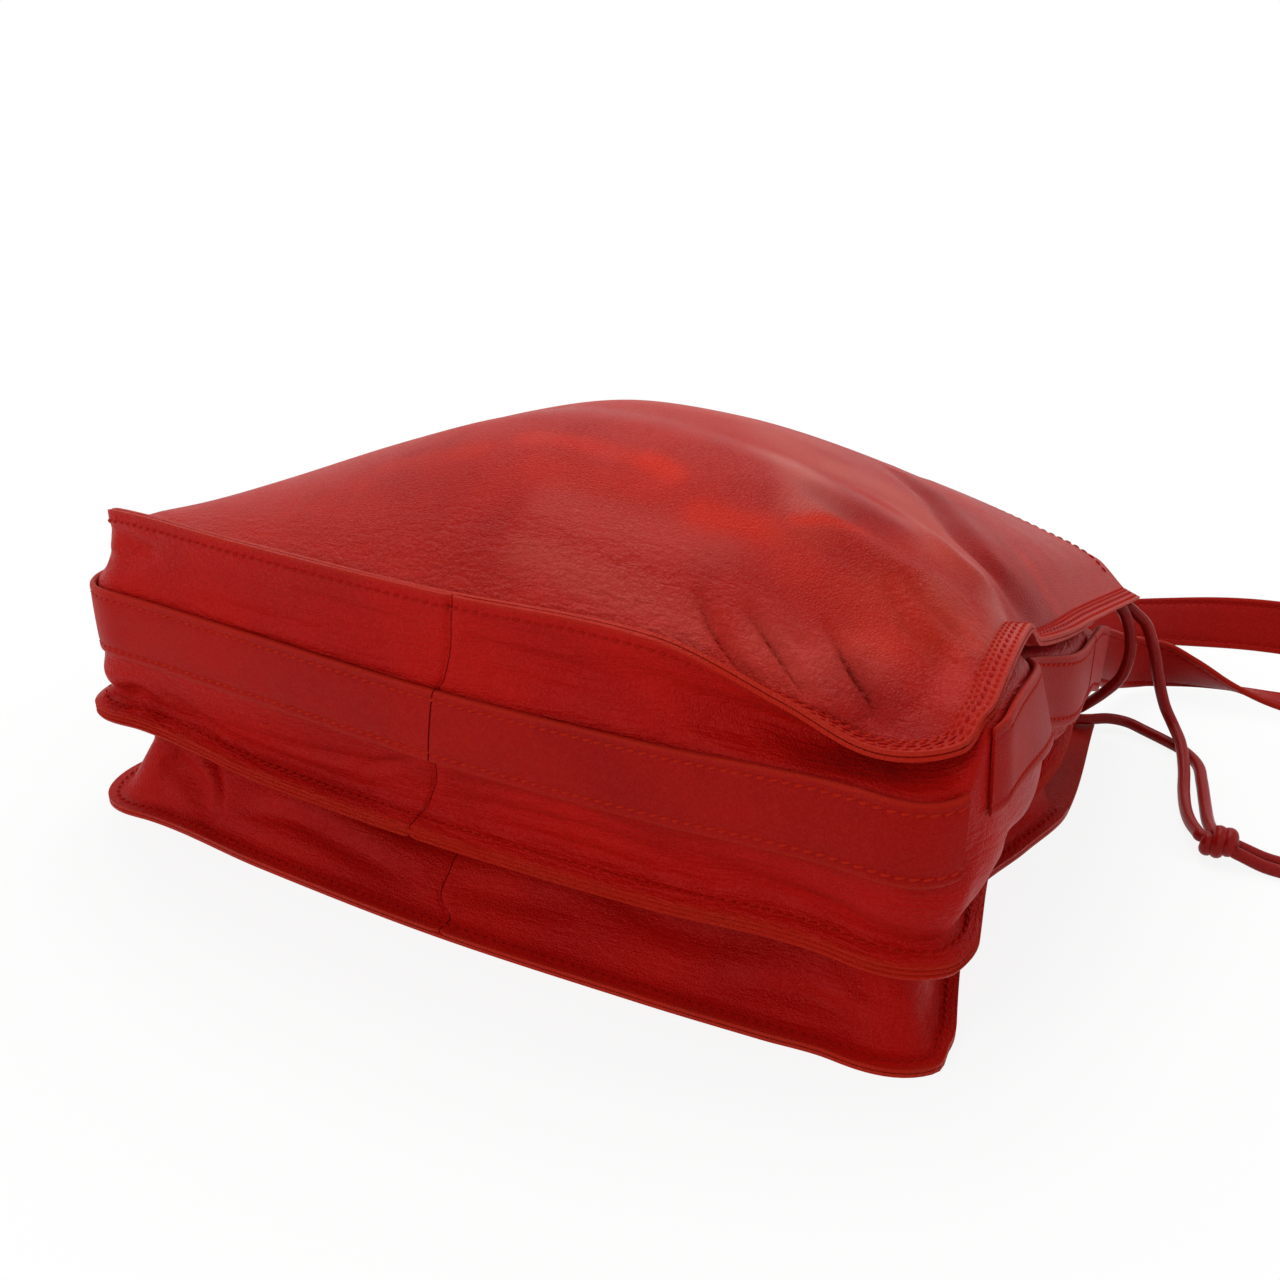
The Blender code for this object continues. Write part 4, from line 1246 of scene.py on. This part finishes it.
def strip(name, low, high, thickness, away=None, slant=False, thin_start=False):
    """A flat strip between two edge lines, as a closed loft, and its rows' lines on both faces."""
    centre, across, normal = strip_frame(low, high, away)
    width = float(np.linalg.norm(high - low, axis=1).mean())
    profile = strip_profile(width, thickness)
    rise = np.repeat(profile[None, :, 1:], len(centre), axis=0)
    if thin_start:
        gone = np.linalg.norm(centre - centre[0], axis=1)
        share = THIN_END + (1 - THIN_END) * np.clip(gone / THIN_REACH, 0, 1)
        rise = rise * share[:, None, None] - (1 - share[:, None, None]) * thickness / 2
    grid = centre[:, None, :] + across[:, None, :] * profile[None, :, :1] + normal[:, None, :] * rise
    if slant:
        share = np.clip(1 - np.abs(centre[:, :1]) / JOIN_REACH, 0, 1)
        grid[..., 0] += smooth_values([(z * MM, x * MM) for z, x in JOIN_SLANT], grid[..., 2]) * share
    rows, columns = grid.shape[:2]
    faces = grid_faces(rows, columns, closed=True)
    faces.append(tuple(range(columns)))
    faces.append(tuple(range((rows - 1) * columns, rows * columns))[::-1])
    piece = mesh_from(name, grid.reshape(-1, 3), faces)
    edge = np.clip((np.abs(profile[:, 0]) - width / 2 + 0.0018) / 0.0012, 0, 1)
    paint(piece, "wear_and_highlight", np.repeat(edge[None, :] * 0.40, rows, axis=0))
    face_outwards(piece)
    smooth_shade(piece, 60)
    seams = []
    sewn = slice(int(np.searchsorted(np.linalg.norm(centre - centre[0], axis=1), THIN_REACH)) if thin_start else 0, None)
    for face in (1, -1):
        for inset in (-width / 2 + BAND_ROW_INSET, width / 2 - BAND_ROW_INSET):
            lift = thickness / 2 * 0.62
            seams.append((grid_line(centre, across, normal, inset, lift * face, slant)[sewn], (normal * face)[sewn]))
    return piece, seams


def grid_line(centre, across, normal, inset, lift, slant):
    """A line on a strip's face, at a distance across it and a height above its middle; slant is not used, so the line
    is not slanted at the middle join.
    """
    line = centre + across * inset + normal * lift
    return line


def band_lines(places):
    """Lower and upper edge of a strip that lies flat on the gusset, and the way it faces."""
    points = fold_points(places)
    low, high = to_space(places, points["band_low"]), to_space(places, points["band_high"])
    outward = seam_line(places)[1]
    up = high - low
    up /= np.linalg.norm(up, axis=1, keepdims=True)
    away = outward - up * (outward * up).sum(axis=1, keepdims=True)
    away /= np.linalg.norm(away, axis=1, keepdims=True)
    shift = away * (LEATHER / 2 + SEAM_GAP + BAND_THICKNESS / 2)
    return low + shift, high + shift, away


CORNER_BAND_END = BOTTOM_END + ARC_LENGTH * BOTTOM_BAND_CORNER_SHARE
band_seams = []
for name, first, last in (
    ("side_band_left", GUSSET_START, SIDE_LENGTH - HALF_GAP),
    ("bottom_band_left", SIDE_LENGTH + HALF_GAP, CENTRE - HALF_GAP),
    ("bottom_band_right", CENTRE + HALF_GAP, CORNER_BAND_END),
    ("side_band_right", BOTTOM_END + ARC_LENGTH * SIDE_BAND_CORNER_SHARE, GUSSET_END),
):
    low, high, away = band_lines(even_places(first, last))
    piece, seams = strip(name + "_leather", low, high, BAND_THICKNESS, away, slant="bottom" in name, thin_start=name == "side_band_right")
    finish_piece(piece, STRAP_LEATHER, "strap_leather", name)
    band_seams += seams[:2]
sew("band_stitches", band_seams, BAND_THREAD, "strap_leather")


def strap_lines():
    """Edges of the shoulder strap, a flat strip whose width turns along its route."""
    ends = []
    for place in (GUSSET_END, GUSSET_START):
        low, high, away = band_lines(np.array([place]))
        ends.append((low[0] + (0, JOIN_GAP, 0), high[0] + (0, JOIN_GAP, 0)))
    leads = []
    for low, high in ends:
        middle = (low + high) / 2 / MM
        lead = middle + np.array((0.0, STRAP_LEAD - JOIN_GAP, -STRAP_DROP)) / MM
        leads.append(((*middle, 90), (*lead, 90)))
    right, left = leads
    route = smooth_route([right[0], right[1], *STRAP_ROUTE, left[1], left[0]], 420)
    centre = route[:, :3] * MM
    along = np.gradient(centre, axis=0)
    along /= np.linalg.norm(along, axis=1, keepdims=True)
    level = np.stack([along[:, 1], -along[:, 0], 0 * along[:, 0]], axis=1)
    level /= np.linalg.norm(level, axis=1, keepdims=True)
    upward = np.cross(level, along)
    tilt = np.radians(route[:, 3:4])
    width = level * np.cos(tilt) + upward * np.sin(tilt)
    low, high = centre - width * BAND_WIDTH / 2, centre + width * BAND_WIDTH / 2
    floor_level = STRAP_THICKNESS / 2 + SEAM_GAP
    low[:, 2] = np.maximum(low[:, 2], floor_level)
    high[:, 2] = np.maximum(high[:, 2], floor_level)
    low[0], high[0] = ends[0]
    low[-1], high[-1] = ends[1]
    return low, high


low, high = strap_lines()
strap_piece, strap_seams = strip("strap_leather", low, high, STRAP_THICKNESS)
finish_piece(strap_piece, STRAP_LEATHER, "strap_leather", "shoulder_strap")
sew("strap_stitches", strap_seams, SEAM_THREAD, "strap_leather")

# ------------------------------------------------------------------ seams of the body

gusset_run = even_places(GUSSET_START + 0.002, GUSSET_END - 0.002, 0.003)
whole_run = even_places(0.002, LINE_LENGTH - 0.002, 0.003)
rolled_run = even_places(bottom_place(0.062), LINE_LENGTH - 0.002, 0.003)
sew(
    "front_flange_stitches",
    [
        flange_row(gusset_run, "hem_root", "hem_edge", 0.0047, LAYER / 2, 1),
        flange_row(whole_run, "hem_root", "hem_edge", 0.0047, -LAYER / 2, -1),
    ],
    SEAM_THREAD, "body_leather",
)
sew(
    "rolled_flange_stitches",
    [flange_row(rolled_run, "hem_root", "hem_edge", inset, -LAYER / 2, -1) for inset in (0.0020, 0.0070, 0.0088)],
    BAND_THREAD, "body_leather", pitch=0.0034, length=0.0029, radius=0.00056,
)
sew(
    "middle_flange_stitches",
    [
        flange_row(gusset_run, "seam_root", "seam_edge", 0.0045, LAYER, 1),
        flange_row(gusset_run, "seam_root", "seam_edge", 0.0045, -LAYER, -1),
    ],
    SEAM_THREAD, "body_leather",
)
sew(
    "rear_flange_stitches",
    [
        flange_row(gusset_run, "floor_root", "floor_edge", 0.0042, 0.0, 1),
    ],
    SEAM_THREAD, "body_leather",
)


def seam_core(name, places, root_name, edge_name, level):
    """The glue line between two layers of a flange: it shows as a thin dark line along the cut edge."""
    points = fold_points(places)
    edge, root = layered(points, edge_name, level), layered(points, root_name, level)
    shares = np.linspace(CORE_RECESS / FLANGE, 1.0, 4)
    profile = np.stack([edge + (root - edge) * share for share in shares], axis=1)
    piece = leather_sheet(name, to_space(places, profile), SEAM_GAP * 0.9)
    return finish_piece(piece, GUSSET_NAPPA, "body_leather")


def mouth_rows(node, grid):
    """The lines of sewing that hold a panel's hem, on both its faces."""
    return [mouth_row(grid, side, LEATHER / 2 + (HEM_GAP if side == HEM_SIDE[node] else 0)) for side in (1, -1)]


def mouth_row(grid, side, lift):
    """A line of sewing on one face of a panel, a hem's depth below its mouth."""
    row = int(round((HEM_DEPTH - 0.0015) / GRID_STEP))
    normals = grid_normals(grid)[row]
    normals *= np.sign(normals[:, 2:]) * side
    inner = slice(4, -4)
    return grid[row][inner] + normals[inner] * lift, normals[inner]


CORE_RECESS = 0.0006
seam_core("front_seam_core", gusset_run, "hem_root", "hem_edge", 0.0)
seam_core("middle_seam_core_high", gusset_run, "seam_root", "seam_edge", LAYER / 2)
seam_core("middle_seam_core_low", gusset_run, "seam_root", "seam_edge", -LAYER / 2)
seam_core("rear_seam_core", gusset_run, "floor_root", "floor_edge", -LAYER / 2)
sew("front_mouth_stitches", mouth_rows("front_panel", front), SEAM_THREAD, "body_leather")
sew("middle_mouth_stitches", mouth_rows("middle_panel", middle), SEAM_THREAD, "body_leather")
sew("back_mouth_stitches", mouth_rows("back_panel", back)[:1], SEAM_THREAD, "body_leather")


def cord_tab(name, centre, half_length, half_width, low, rise):
    """A leather tab sewn flat all round over the cords' ends on the back panel."""
    across = np.linspace(-1, 1, 25)
    x, y = np.meshgrid(across, across, indexing="ij")
    swell = np.clip(1.35 * (1 - np.abs(x) ** 3) * (1 - np.abs(y) ** 4), 0, 1)
    swell = swell * swell * (3 - 2 * swell)
    grid = np.stack(
        [centre[0] + x * half_length, centre[1] + y * half_width, low + rise * swell], axis=-1,
    )
    return finish_piece(leather_sheet(name, grid, LEATHER), STRAP_LEATHER, "body_leather")


cord_tab("cord_tab", (0.160, 0.1225), 0.0140, 0.0130, BACK_LEVEL + LEATHER + 0.0024, 0.0062)

bpy.context.scene.view_settings.view_transform = "Standard"
bpy.context.view_layer.update()
